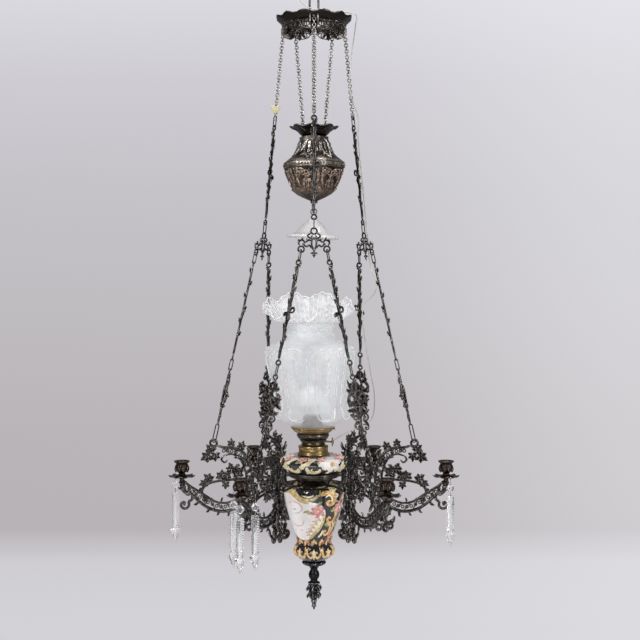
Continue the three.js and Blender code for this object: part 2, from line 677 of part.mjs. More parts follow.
// Lays a flat strip on the chain's way: a run down on each side of the pulley and an arc over it.
function wind(strip, arc) {
  return reshape(strip, (p) => {
    const knot = Math.abs(p.y) > CHAIN_WIDTH / 2 - SINK ? CHAIN_THICKNESS : CHAIN_KNOT_THICKNESS;
    const reach = PULLEY_PITCH_RADIUS + p.z * knot;
    const round = THREE.MathUtils.clamp(p.x - CHAIN_OUTER_RUN, 0, arc);
    const angle = outerAngle + round / PULLEY_PITCH_RADIUS;
    const inwards = p.x > CHAIN_OUTER_RUN + round;
    const slant = inwards ? innerAngle : outerAngle;
    const along = Math.abs(p.x - CHAIN_OUTER_RUN - round);
    const drift = (inwards ? -1 : 1) * along * Math.sin(slant);
    const x = PULLEY_CENTRE_RADIUS + reach * Math.cos(angle) + drift;
    p.set(x, -p.y, pulleyHeight + reach * Math.sin(angle) - along * Math.cos(slant));
  });
}

// A leafy bar with an eye at each end and a bow knot half way, hanging from its upper eye.
function barShapes(length) {
  const top = SINK - EYE_RADIUS * Math.cos(Math.PI / EYE_SIDES);
  const step = (length + 2 * top) / BAR_LEAVES;
  const right = [];
  const left = [];
  for (let i = 0; i < BAR_LEAVES; i += 1) {
    const height = top - i * step;
    right.push([BAR_HALF_WIDTH, height], [BAR_HALF_WIDTH + BAR_LEAF, height - step * 0.7]);
    left.push([-BAR_HALF_WIDTH, height - step * 0.3], [-BAR_HALF_WIDTH - BAR_LEAF, height - step]);
  }
  const stem = [[-BAR_HALF_WIDTH, top], ...left, [BAR_HALF_WIDTH, top - BAR_LEAVES * step], ...right.reverse()];
  const knot = -length / 2;
  const bow = new THREE.Shape(outline([
    [-2, knot + 3], [-BOW_WIDTH, knot + BOW_HEIGHT / 2], [-BOW_WIDTH, knot - BOW_HEIGHT / 3], [0, knot - 4],
    [BOW_WIDTH, knot - BOW_HEIGHT / 2], [BOW_WIDTH, knot + BOW_HEIGHT / 3],
  ]));
  [-1, 1].forEach((side) => bow.holes.push(new THREE.Path(outline([
    [side * 4.5, knot - side * 0.5],
    [side * (BOW_WIDTH - 2), knot + 3 - side * 2],
    [side * (BOW_WIDTH - 2), knot - 3 - side * 2],
  ]))));
  return [
    eye(0, 0, EYE_RADIUS, EYE_HOLE),
    eye(0, -length, EYE_RADIUS, EYE_HOLE),
    new THREE.Shape(outline(stem)),
    bow,
  ];
}

function outline(points) {
  return points.map(([x, y]) => new THREE.Vector2(x, y));
}

// The shell-edged plaque near the foot of each lower hanger, hanging from its eye.
function cartoucheShapes() {
  const w = CARTOUCHE_WIDTH / 2;
  const h = CARTOUCHE_LENGTH;
  const plaque = new THREE.Shape(outline([
    [-3, -4], [-5, -h * 0.17], [-w * 0.55, -h * 0.14], [-w * 0.6, -h * 0.3], [-w, -h * 0.42],
    [-w * 0.85, -h * 0.62], [-w * 0.3, -h * 0.74], [-w * 0.3, -h * 0.88], [0, -h],
    [w * 0.3, -h * 0.78], [w * 0.8, -h * 0.64], [w, -h * 0.44], [6, -h * 0.3], [3, -4],
  ]));
  const opening = (x, y, wide, high) => new THREE.Path(outline([
    [x - wide, y], [x, y - high], [x + wide, y], [x, y + high],
  ]));
  plaque.holes.push(opening(-w * 0.5, -h * 0.47, 5, 9));
  plaque.holes.push(opening(w * 0.5, -h * 0.52, 5, 8));
  return [eye(0, 0, EYE_RADIUS, EYE_HOLE), plaque];
}

// The scrolled bracket that spreads one chain to two arms, hanging from its upper eye.
function bracketShapes() {
  const w = BRACKET_WIDTH / 2;
  const h = BRACKET_HEIGHT;
  const mirrored = (side) => [
    ribbon([[0, -5], [side * w * 0.36, -h * 0.13], [side * w * 0.28, -h * 0.24], [side * 3, -h * 0.27]], [1.6, 1.6], 3),
    ribbon([[side * 3, -h * 0.22], [side * 5, -h * 0.4], [side * 4, -h * 0.55], [0, -h * 0.72]], [1.8, 2.2], 2),
    ribbon([[side * 3, -h * 0.34], [side * w * 0.34, -h * 0.31], [side * w * 0.55, -h * 0.38],
      [side * w * 0.74, -h * 0.29], [side * w * 0.95, -h * 0.4], [side * bracketEyeSpread, -h * 0.52]], [1.8, 1.8], 4),
    eye(side * bracketEyeSpread, -bracketEyeDrop, BRACKET_EYE, BRACKET_EYE_HOLE),
  ];
  const drop = new THREE.Shape(outline([
    [-2, -h * 0.68], [-w * 0.22, -h * 0.76], [-2.5, -h * 0.8], [0, -h * 0.88], [2.5, -h * 0.8],
    [w * 0.22, -h * 0.76], [2, -h * 0.68],
  ]));
  return [eye(0, 0, BRACKET_EYE, BRACKET_EYE_HOLE), drop, ...mirrored(1), ...mirrored(-1)];
}

// A link standing in a casting's hanger, its top at the given distance below the hanger's origin.
function linkAt(distance, length = LINK_LENGTH, width = LINK_WIDTH) {
  return oblongLink(length, width).translate(0, 0, -distance);
}

function upperBar() {
  const bar = casting(barShapes(UPPER_BAR_LENGTH), CASTING_THICKNESS);
  const hanger = geometryOf(join(linkAt(upperLinkTop - upperEye), bar));
  return hang(hanger, onLine(outerAngle, 1, upperEye), outerDown, tangential);
}

function hangerBracket() {
  const bracket = casting(bracketShapes(), CASTING_THICKNESS);
  const hanger = geometryOf(join(linkAt(bracketLinkTop - bracketTop), bracket));
  return hang(hanger, onLine(outerAngle, 1, bracketTop), outerDown, tangential);
}

// One lower hanger, for an arm at azimuth 0: link, leafy bar, link, plaque and the long link to the arm.
// Side says on which side of its bracket the arm stands.
function lowerHanger(side) {
  const bar = casting(barShapes(LOWER_BAR_LENGTH), CASTING_THICKNESS).translate(0, 0, -lowerEye);
  const plaque = casting(cartoucheShapes(), CASTING_THICKNESS).translate(0, 0, -cartoucheTop);
  const hanger = geometryOf(join(
    linkAt(lowerLinkTop, LINK_LENGTH, BRACKET_LINK_WIDTH),
    bar,
    linkAt(cartoucheLinkTop),
    plaque,
    linkAt(armLinkTop, ARM_LINK_LENGTH, ARM_LINK_WIDTH).rotateZ(Math.PI / 2),
  ));
  const from = bracketEye.clone();
  from.y *= side;
  from.applyAxisAngle(new THREE.Vector3(0, 0, 1), radians(-side * ARM_SPREAD));
  const to = new THREE.Vector3(ARM_RING_RADIUS, 0, armRingHeight);
  return hang(hanger, from, to.sub(from), tangential);
}

// The vase's radius at a height, which the arm's inner rail keeps clear of.
function vaseRadiusAt(height) {
  const share = THREE.MathUtils.clamp((vaseTop - height) / VASE_HEIGHT, 0, 1);
  return THREE.MathUtils.lerp(VASE_RADIUS, VASE_WAIST_RADIUS, share ** VASE_TAPER);
}

// One openwork arm as a flat casting in the radial plane. Heights are above the holder's rim, and a
// share of 0 stands at the inner rail and 1 at the candle cup.
function armShapes() {
  const rail = (rise) => Math.max(FONT_RADIUS * (rise > -HOLDER_LIP ? 1 : 0), vaseRadiusAt(holderTop + rise))
    + ARM_VASE_CLEARANCE + ARM_RAIL;
  const inner = rail(0);
  const at = (share, rise) => [inner + share * (ARM_REACH - inner), rise];
  const footRise = vaseTop - holderTop - VASE_HEIGHT * 0.74;
  const footCentre = rail(footRise + FOOT_EYE) + FOOT_EYE * 0.55;
  const hub = at(0.23, -72);
  const spiral = Array.from({ length: 6 }, (unused, i) => {
    const angle = Math.PI * (0.95 + i * 0.34);
    const radius = SCROLL_RADIUS * (1 - 0.085 * i);
    return [hub[0] + radius * Math.cos(angle), hub[1] + radius * Math.sin(angle)];
  });
  const innerRail = [
    [inner - 10, 42], [inner, 22], [rail(-10), -10], [rail(-50), -50],
    [footCentre - FOOT_EYE * 0.7, footRise + FOOT_EYE * 0.5],
  ];
  const pad = [ARM_REACH + ARM_PAD_RADIUS, ARM_REACH - ARM_PAD_RADIUS];
  const cupStem = new THREE.Shape(outline([
    [ARM_REACH - 5, -46], [ARM_REACH + 2, -44], [pad[0], -ARM_PAD_DROP - 5], [pad[0], -ARM_PAD_DROP],
    [pad[1], -ARM_PAD_DROP], [pad[1], -ARM_PAD_DROP - 5],
  ]));
  const lug = new THREE.Shape(outline([
    [HOLDER_RADIUS + GAP, -HOLDER_LIP], [inner, -HOLDER_LIP - 6], [inner, 2], [HOLDER_RADIUS + GAP, -GAP],
  ]));
  const ringEdge = [ARM_RING_RADIUS - ARM_RING_OUTER * 0.7, ARM_RING_RISE - ARM_RING_OUTER * 0.8];
  return [
    eye(ARM_RING_RADIUS, ARM_RING_RISE, ARM_RING_OUTER, ARM_RING_HOLE, 8),
    eye(footCentre, footRise, FOOT_EYE, FOOT_EYE_HOLE, 8),
    lug,
    cupStem,
    ribbon(innerRail, [1.5, ARM_RAIL, ARM_RAIL], 4),
    ribbon([[rail(-34), -34], ...spiral], [ARM_RAIL, ARM_RAIL, 2.4], 7),
    ribbon([at(-0.015, 26), at(0.1, 42), at(0.2, 34), at(0.27, 4)], [ARM_RAIL, ARM_RAIL], 3),
    ribbon([at(0.34, -52), at(0.27, -20), at(0.27, 14), at(0.36, 46), at(0.53, 58), ringEdge],
      [ARM_RAIL, ARM_RAIL, ARM_RAIL * 0.8], 5),
    ribbon([at(0.29, 4), at(0.39, 27), at(0.51, 36), at(0.54, 56)], [2.4, 4, 2.4], 3),
    leaf(ARM_RING_RADIUS + 3, ARM_RING_RISE - 26, 20, Math.PI / 2, 3),
    ribbon([at(0.29, -36), at(0.4, -50), at(0.52, -60), at(0.65, -57), at(0.82, -34),
      [ARM_REACH - 2, -ARM_PAD_DROP - 8]], [2.4, 2.4], 4),
    ribbon([at(0.34, -50), at(0.46, -71), at(0.6, -76), at(0.78, -62), [ARM_REACH - 4, -30]], [2.6, 2.6], 4),
    ribbon([at(0.87, -34), at(0.89, -54), at(0.96, -61), [ARM_REACH - 2, -42]], [2.2, 2.2], 3),
    ribbon([at(0.3, -32), at(0.42, -8), at(0.6, -11), at(0.78, -22), at(0.73, -50)], [2, 2.6, 2], 4),
  ];
}

function arm() {
  return casting(armShapes(), ARM_THICKNESS).translate(0, 0, holderTop);
}

// A candle cup on its stem, with the grease pan below it, standing on the end of an arm at azimuth 0. It has
// a small hole in the pan for each drop that it carries.
function candleCup(turns) {
  const base = holderTop - ARM_PAD_DROP + GAP;
  const top = panHeight + CUP_HEIGHT;
  let cup = solid(revolve([
    [0, base],
    [CUP_STEM_RADIUS, base],
    [CUP_STEM_RADIUS, panHeight - BOBECHE_THICKNESS],
    [BOBECHE_RADIUS, panHeight - BOBECHE_THICKNESS],
    [BOBECHE_RADIUS, panHeight],
    [CUP_STEM_RADIUS * 1.5, panHeight],
    [CUP_RADIUS, top - CUP_HEIGHT * 0.4],
    [CUP_RADIUS, top],
    [CANDLE_BORE_RADIUS, top],
    [CANDLE_BORE_RADIUS, top - CANDLE_BORE_DEPTH],
    [0, top - CANDLE_BORE_DEPTH],
  ], 8));
  turns.forEach((turn) => {
    const hole = revolve([
      [0, panHeight - BOBECHE_THICKNESS * 2],
      [DROP_HOLE_RADIUS, panHeight - BOBECHE_THICKNESS * 2],
      [DROP_HOLE_RADIUS, panHeight + BOBECHE_THICKNESS],
      [0, panHeight + BOBECHE_THICKNESS],
    ], 6).translate(BOBECHE_RADIUS - DROP_HOLE_INSET, 0, 0);
    cup = cup.subtract(solid(hole.rotateZ(radians(turn))));
  });
  return geometryOf(cup).translate(ARM_REACH, 0, 0);
}

// A cut-glass drop: a bead and a notched spear on one wire, whose ring goes through a hole near the edge of
// the pan of the arm at azimuth 0.
function glassDrop(turn) {
  const bead = new THREE.SphereGeometry(BEAD_RADIUS, 6, 3).scale(BEAD_THICKNESS / BEAD_RADIUS, 1, 1);
  const beadTop = -DROP_RING_RADIUS - BEAD_SPACE;
  bead.translate(0, 0, beadTop - BEAD_RADIUS);
  const spearTop = beadTop - 2 * BEAD_RADIUS - BEAD_SPACE;
  const half = SPEAR_WIDTH / 2;
  const spear = revolve([
    [0, spearTop - SPEAR_LENGTH],
    [half, spearTop - SPEAR_LENGTH * 0.78],
    [half * 0.6, spearTop - SPEAR_LENGTH * 0.73],
    [half * 0.88, spearTop - SPEAR_LENGTH * 0.66],
    [half * 0.88, spearTop - SPEAR_LENGTH * 0.06],
    [half * 0.4, spearTop],
    [0, spearTop],
  ], 4).scale(SPEAR_THICKNESS / SPEAR_WIDTH, 1, 1);
  const wireLength = 2 * (BEAD_SPACE + BEAD_RADIUS + SINK);
  const wire = new THREE.BoxGeometry(DROP_WIRE, DROP_WIRE, wireLength);
  wire.translate(0, 0, -DROP_RING_RADIUS - wireLength / 2);
  const ring = new THREE.TorusGeometry(DROP_RING_RADIUS, DROP_WIRE / 2, 3, 5).rotateX(Math.PI / 2);
  const ringHeight = panHeight + 2 * GAP + DROP_WIRE / 2 - DROP_RING_RADIUS;
  const ringRadius = BOBECHE_RADIUS - DROP_HOLE_INSET + DROP_RING_RADIUS - DROP_WIRE / 2;
  return geometryOf(join(bead, spear, wire, ring)).translate(ringRadius, 0, ringHeight)
    .rotateZ(radians(turn)).translate(ARM_REACH, 0, 0);
}

// The counterweight's cover: a dish with an ear for each chain.
function weightCover() {
  const floor = coverBase + COVER_FLOOR;
  const dish = revolve([
    [WEIGHT_ROD_RADIUS + FIT, coverBase],
    [WEIGHT_FOOT_RADIUS, coverBase],
    [WEIGHT_DISH_RADIUS, coverBase + WEIGHT_DISH_DEPTH],
    [WEIGHT_DISH_RADIUS - WEIGHT_WALL * 2, coverBase + WEIGHT_DISH_DEPTH],
    [WEIGHT_FOOT_RADIUS, floor],
    [WEIGHT_ROD_RADIUS + FIT, floor],
  ], 12);
  const ears = CHAINS.map(({ azimuth }) => ear().rotateZ(radians(azimuth)));
  return geometryOf(join(dish, ...ears));
}

// An ear goes through the last opening of its chain and is sunk in the cover's floor.
function ear() {
  const down = new THREE.Vector3(-Math.sin(innerAngle), 0, -Math.cos(innerAngle));
  return hang(oblongLink(LINK_LENGTH, LINK_WIDTH), onLine(innerAngle, -1, earTop), down, tangential);
}

// The counterweight's shell: a six-sided bell above a bowl, open at the top.
function weightShell() {
  const w = WEIGHT_WALL;
  const band = shellTop - WEIGHT_BELL_HEIGHT;
  const shell = revolve([
    [WEIGHT_ROD_RADIUS + FIT, shellBase],
    [WEIGHT_ROD_RADIUS * 3, shellBase],
    [WEIGHT_RADIUS * 0.69, shellBase + WEIGHT_BOWL_HEIGHT * 0.28],
    [WEIGHT_RADIUS, band - WEIGHT_BAND],
    [WEIGHT_RADIUS, band],
    [WEIGHT_RADIUS * 0.6, band + WEIGHT_BELL_HEIGHT * 0.5],
    [WEIGHT_SHOULDER_RADIUS, shellTop],
    [WEIGHT_SHOULDER_RADIUS - w, shellTop],
    [WEIGHT_RADIUS * 0.6 - w, band + WEIGHT_BELL_HEIGHT * 0.5 - w],
    [WEIGHT_RADIUS - w, band - w],
    [WEIGHT_RADIUS - w, band - WEIGHT_BAND],
    [WEIGHT_RADIUS * 0.69 - w, shellBase + WEIGHT_BOWL_HEIGHT * 0.28 + w],
    [WEIGHT_ROD_RADIUS * 3, shellBase + w],
    [WEIGHT_ROD_RADIUS + FIT, shellBase + w],
  ], WEIGHT_SIDES * 2);
  return flatten(shell).rotateZ(radians(WEIGHT_TURN));
}

// Draws in the middle of each of the weight's sides, away from the bore for the rod.
function flatten(geometry) {
  return reshapeRadius(geometry, (angle, radius) => {
    const share = radius < WEIGHT_ROD_RADIUS * 2 ? 0 : WEIGHT_FLATNESS;
    return 1 - share * Math.sin((angle * WEIGHT_SIDES) / 2) ** 2;
  });
}

// The ballast that fills the bowl and the lower half of the bell.
function ballast() {
  const inset = WEIGHT_WALL + BALLAST_SPACE;
  const floor = shellBase + WEIGHT_WALL + GAP * 2;
  const band = shellTop - WEIGHT_BELL_HEIGHT;
  const top = band + WEIGHT_BELL_HEIGHT * 0.5 - inset;
  const fill = revolve([
    [WEIGHT_ROD_RADIUS + FIT, floor],
    [WEIGHT_ROD_RADIUS * 3, floor],
    [WEIGHT_RADIUS * 0.69 - inset, shellBase + WEIGHT_BOWL_HEIGHT * 0.28 + inset],
    [WEIGHT_RADIUS - inset, band - WEIGHT_BAND],
    [WEIGHT_RADIUS - inset, band - inset],
    [WEIGHT_RADIUS * 0.6 - inset, top],
    [WEIGHT_ROD_RADIUS + FIT, top],
  ], WEIGHT_SIDES * 2);
  return flatten(fill).rotateZ(radians(WEIGHT_TURN));
}

// The rod that holds the counterweight together, with the eye below it for the smoke bell.
function weightRod() {
  const head = coverBase + COVER_FLOOR + GAP;
  const collar = shellBase - GAP;
  const rod = revolve([
    [0, collar - ROD_COLLAR_HEIGHT],
    [ROD_COLLAR_RADIUS, collar - ROD_COLLAR_HEIGHT],
    [ROD_COLLAR_RADIUS, collar],
    [WEIGHT_ROD_RADIUS, collar],
    [WEIGHT_ROD_RADIUS, head],
    [ROD_COLLAR_RADIUS, head],
    [ROD_COLLAR_RADIUS, head + ROD_COLLAR_HEIGHT],
    [0, head + ROD_COLLAR_HEIGHT],
  ], 8);
  const ring = new THREE.TorusGeometry(WEIGHT_EYE_RADIUS, LINK_WIRE / 2, 4, 8).rotateY(Math.PI / 2);
  return geometryOf(join(rod, ring.rotateX(Math.PI / 8).translate(0, 0, weightEye)));
}

// The glass smoke bell, with the ring on its knob that goes through the eye of the rod.
function smokeBell() {
  const w = BELL_WALL;
  const h = BELL_HEIGHT;
  const bell = revolve([
    [0, -w],
    [BELL_RADIUS * 0.25, -h * 0.34 - w],
    [BELL_RADIUS * 0.82, -h * 0.84 - w],
    [BELL_RADIUS - 1, -h],
    [BELL_RADIUS, -h],
    [BELL_RADIUS, -h + w],
    [BELL_RADIUS * 0.84, -h * 0.84],
    [BELL_RADIUS * 0.3, -h * 0.34],
    [BELL_RADIUS * 0.1, SINK],
    [0, SINK],
  ], 14);
  const ring = new THREE.TorusGeometry(BELL_RING_RADIUS, LINK_WIRE / 2, 4, 8).rotateX(Math.PI / 2);
  ring.rotateY(Math.PI / 8).translate(0, 0, BELL_RING_RADIUS);
  return geometryOf(join(bell, ring)).translate(0, 0, -BELL_RING_RADIUS * 2)
    .rotateY(radians(BELL_TILT)).translate(0, 0, bellRingTop);
}

// The column: the finial below the vase, with a flange, a neck, a knob and a leafy drop.
function finial() {
  const neck = finialTop - FINIAL_FLANGE_HEIGHT;
  const knob = neck - FINIAL_KNOB_RADIUS * 2;
  const turned = revolve([
    [0, knob - FINIAL_KNOB_RADIUS],
    [FINIAL_NECK_RADIUS, knob - FINIAL_KNOB_RADIUS * 0.8],
    [FINIAL_KNOB_RADIUS, knob],
    [FINIAL_NECK_RADIUS * 0.6, neck - FINIAL_KNOB_RADIUS * 0.6],
    [FINIAL_NECK_RADIUS, neck],
    [FINIAL_FLANGE_RADIUS, finialTop - FINIAL_FLANGE_HEIGHT * 0.6],
    [FINIAL_FLANGE_RADIUS, finialTop],
    [TIE_ROD_RADIUS + FIT, finialTop],
    [TIE_ROD_RADIUS + FIT, neck],
    [0, neck],
  ], 12);
  const w = FINIAL_DROP_WIDTH / 2;
  const h = FINIAL_DROP_LENGTH;
  const drop = new THREE.Shape(outline([
    [-w, 0], [-w * 0.8, -h * 0.1], [-w * 0.3, -h * 0.16], [-w * 0.9, -h * 0.4], [-w * 0.5, -h * 0.66], [0, -h],
    [w * 0.5, -h * 0.66], [w * 0.9, -h * 0.4], [w * 0.3, -h * 0.16], [w * 0.8, -h * 0.1], [w, 0],
  ]));
  drop.holes.push(new THREE.Path(polygon(0, -h * 0.44, w * 0.42, 5)));
  const leafy = plate(drop, FINIAL_DROP_THICKNESS).translate(0, 0, knob - FINIAL_KNOB_RADIUS * 0.7);
  return geometryOf(join(turned, leafy));
}

// The rod that clamps finial, vase and font holder.
function tieRod() {
  const head = holderBase + HOLDER_WALL + GAP;
  return revolve([
    [0, finialTop - FINIAL_FLANGE_HEIGHT + GAP],
    [TIE_ROD_RADIUS, finialTop - FINIAL_FLANGE_HEIGHT + GAP],
    [TIE_ROD_RADIUS, head],
    [ROD_COLLAR_RADIUS, head],
    [ROD_COLLAR_RADIUS, head + ROD_COLLAR_HEIGHT],
    [0, head + ROD_COLLAR_HEIGHT],
  ], 8);
}

function vase() {
  const steps = [0, 0.3, 0.6, 1];
  const side = (wall) => steps.map((share) => {
    const height = vaseTop - VASE_HEIGHT * share;
    return [vaseRadiusAt(height) - wall, share === 0 ? height - wall : height];
  });
  const bulb = vaseFoot + VASE_BULB_HEIGHT * 0.5;
  return revolve([
    [VASE_FOOT_RADIUS - VASE_WALL, vaseFoot],
    [VASE_FOOT_RADIUS, vaseFoot],
    [VASE_BULB_RADIUS, bulb],
    ...side(0).reverse(),
    [TIE_ROD_RADIUS + FIT, vaseTop],
    [TIE_ROD_RADIUS + FIT, vaseTop - VASE_WALL],
    ...side(VASE_WALL),
    [VASE_BULB_RADIUS - VASE_WALL, bulb],
  ], 12);
}

function fontHolder() {
  const rim = HOLDER_RADIUS - HOLDER_WALL * 4;
  return revolve([
    [TIE_ROD_RADIUS + FIT, holderBase],
    [HOLDER_FOOT_RADIUS, holderBase],
    [HOLDER_RADIUS * 0.9, holderTop - HOLDER_LIP],
    [HOLDER_RADIUS, holderTop - HOLDER_LIP],
    [HOLDER_RADIUS, holderTop],
    [rim, holderTop],
    [rim, holderTop - HOLDER_LIP],
    [HOLDER_FOOT_RADIUS - HOLDER_WALL, holderBase + HOLDER_WALL],
    [TIE_ROD_RADIUS + FIT, holderBase + HOLDER_WALL],
  ], 14);
}

// The glazed oil font, open at its mouth.
function font() {
  const w = FONT_WALL;
  return revolve([
    [0, fontBase],
    [FONT_BASE_RADIUS, fontBase],
    [FONT_RADIUS, fontBase + FONT_HEIGHT * 0.48],
    [FONT_RADIUS * 0.88, fontBase + FONT_HEIGHT * 0.72],
    [FONT_NECK_RADIUS, fontBase + FONT_HEIGHT],
    [FONT_MOUTH_RADIUS, fontBase + FONT_HEIGHT],
    [FONT_MOUTH_RADIUS, fontBase + FONT_HEIGHT - w],
    [FONT_RADIUS * 0.88 - w, fontBase + FONT_HEIGHT * 0.72 - w / 2],
    [FONT_RADIUS - w, fontBase + FONT_HEIGHT * 0.48],
    [FONT_BASE_RADIUS - w / 2, fontBase + w],
    [0, fontBase + w],
  ], 14);
}

function fontCollar() {
  return revolve([
    [FONT_MOUTH_RADIUS, collarBase],
    [COLLAR_FLANGE_RADIUS, collarBase],
    [COLLAR_FLANGE_RADIUS, collarBase + COLLAR_FLANGE_HEIGHT],
    [COLLAR_RADIUS, collarBase + COLLAR_FLANGE_HEIGHT],
    [COLLAR_RADIUS, collarBase + COLLAR_HEIGHT],
    [BURNER_BORE_RADIUS, collarBase + COLLAR_HEIGHT],
  ], 12);
}

// The burner: a floor, a drum and a flared basket, bored for the wick shaft and for the cord.
function burner() {
  const w = BURNER_WALL;
  const basket = burnerBase + BURNER_DRUM_HEIGHT;
  const body = revolve([
    [0, burnerBase],
    [BURNER_NECK_RADIUS, burnerBase],
    [BURNER_NECK_RADIUS, basket],
    [BURNER_RADIUS, burnerBase + BURNER_HEIGHT],
    [BURNER_RADIUS - w, burnerBase + BURNER_HEIGHT],
    [BURNER_NECK_RADIUS - w, basket],
    [BURNER_NECK_RADIUS - w, burnerBase + w],
    [0, burnerBase + w],
  ], 12);
  return geometryOf(solid(body)
    .subtract(solid(bore(KNOB_SHAFT_RADIUS + FIT, KNOB_AZIMUTH, shaftHeight)))
    .subtract(solid(bore(CORD_RADIUS + FIT * 2, CORD_AZIMUTH, shaftHeight))));
}

// A radial rod that cuts a bore through the burner's drum.
function bore(radius, azimuth, height) {
  const reach = BURNER_RADIUS;
  const rod = revolve([[0, 0], [radius, 0], [radius, reach], [0, reach]], 8);
  return rod.rotateZ(Math.PI / 8).rotateY(Math.PI / 2)
    .translate(BURNER_NECK_RADIUS - reach / 2, 0, height).rotateZ(radians(azimuth));
}

function wickKnob() {
  const start = BURNER_NECK_RADIUS - KNOB_SHAFT_LENGTH / 2;
  const disc = start + KNOB_SHAFT_LENGTH;
  return revolve([
    [0, start],
    [KNOB_SHAFT_RADIUS, start],
    [KNOB_SHAFT_RADIUS, disc],
    [KNOB_RADIUS, disc],
    [KNOB_RADIUS, disc + KNOB_THICKNESS],
    [0, disc + KNOB_THICKNESS],
  ], 8).rotateZ(Math.PI / 8).rotateY(Math.PI / 2).translate(0, 0, shaftHeight).rotateZ(radians(KNOB_AZIMUTH));
}

// The ring that stands on the basket and takes the foot of the shade.
function gallery() {
  const w = GALLERY_WALL;
  return revolve([
    [BURNER_RADIUS - BURNER_WALL * 2, galleryBase],
    [GALLERY_RADIUS, galleryBase],
    [GALLERY_RADIUS, galleryBase + GALLERY_HEIGHT],
    [GALLERY_RADIUS - w, galleryBase + GALLERY_HEIGHT],
    [GALLERY_RADIUS - w, galleryBase + w],
    [BURNER_RADIUS - BURNER_WALL * 2, galleryBase + w],
  ], 14);
}

function bulbSocket() {
  return revolve([
    [0, socketBase],
    [SOCKET_RADIUS, socketBase],
    [SOCKET_RADIUS, socketTop],
    [BULB_NECK_RADIUS + FIT, socketTop],
    [BULB_NECK_RADIUS + FIT, socketTop - BULB_NECK_LENGTH],
    [0, socketTop - BULB_NECK_LENGTH],
  ], 10);
}

function bulb() {
  const foot = socketTop - BULB_NECK_LENGTH + GAP;
  const centre = socketTop + BULB_RADIUS + GAP * 2;
  const globe = Array.from({ length: 6 }, (unused, i) => {
    const angle = -Math.PI * 0.36 + (i / 5) * Math.PI * 0.86;
    return [BULB_RADIUS * Math.cos(angle), centre + BULB_RADIUS * Math.sin(angle)];
  });
  globe[5][0] = 0;
  return revolve([
    [0, foot],
    [BULB_NECK_RADIUS, foot],
    [BULB_NECK_RADIUS, socketTop + GAP],
    ...globe,
  ], 10);
}

// The frosted shade: a foot in the gallery, eight lobed panels, a neck and a ruffled rim.
function shade() {
  const w = SHADE_WALL;
  const h = SHADE_BODY_HEIGHT;
  const lip = h * 0.19;
  const shoulder = shadeBase + h + SHADE_SHOULDER;
  const rim = shoulder + SHADE_NECK_HEIGHT + SHADE_RUFFLE_HEIGHT;
  const outside = [
    [SHADE_SEAT_RADIUS, shadeBase],
    [SHADE_SEAT_RADIUS, shadeBase + GALLERY_HEIGHT],
    [SHADE_RADIUS * 0.83, shadeBase + lip],
    [SHADE_RADIUS * 0.81, shadeBase + lip * 1.5],
    [SHADE_RADIUS, shadeBase + h],
    [SHADE_NECK_RADIUS, shoulder],
    [SHADE_NECK_RADIUS, shoulder + SHADE_NECK_HEIGHT],
    [SHADE_RUFFLE_RADIUS, rim],
  ];
  const inside = outside.map(([r, z], i) => [r - w, i === 2 || i === 3 ? z + w / 2 : z]).reverse();
  inside[0][0] = SHADE_RUFFLE_RADIUS - w / 2;
  const glass = revolve([...outside, ...inside], SHADE_PANELS * 2);
  return reshape(glass, (p) => {
    const angle = Math.atan2(p.y, p.x);
    const ruffle = THREE.MathUtils.clamp((p.z - shoulder - SHADE_NECK_HEIGHT) / SHADE_RUFFLE_HEIGHT, 0, 1);
    const body = p.z > shadeBase + lip - 1 && p.z < shoulder - 1 ? SHADE_LOBE : 0;
    const k = 1 - body * Math.cos((angle * SHADE_PANELS) / 2) ** 4;
    p.set(p.x * k, p.y * k, p.z + ruffle * SHADE_RUFFLE_WAVE * Math.cos(angle * SHADE_PANELS));
  });
}

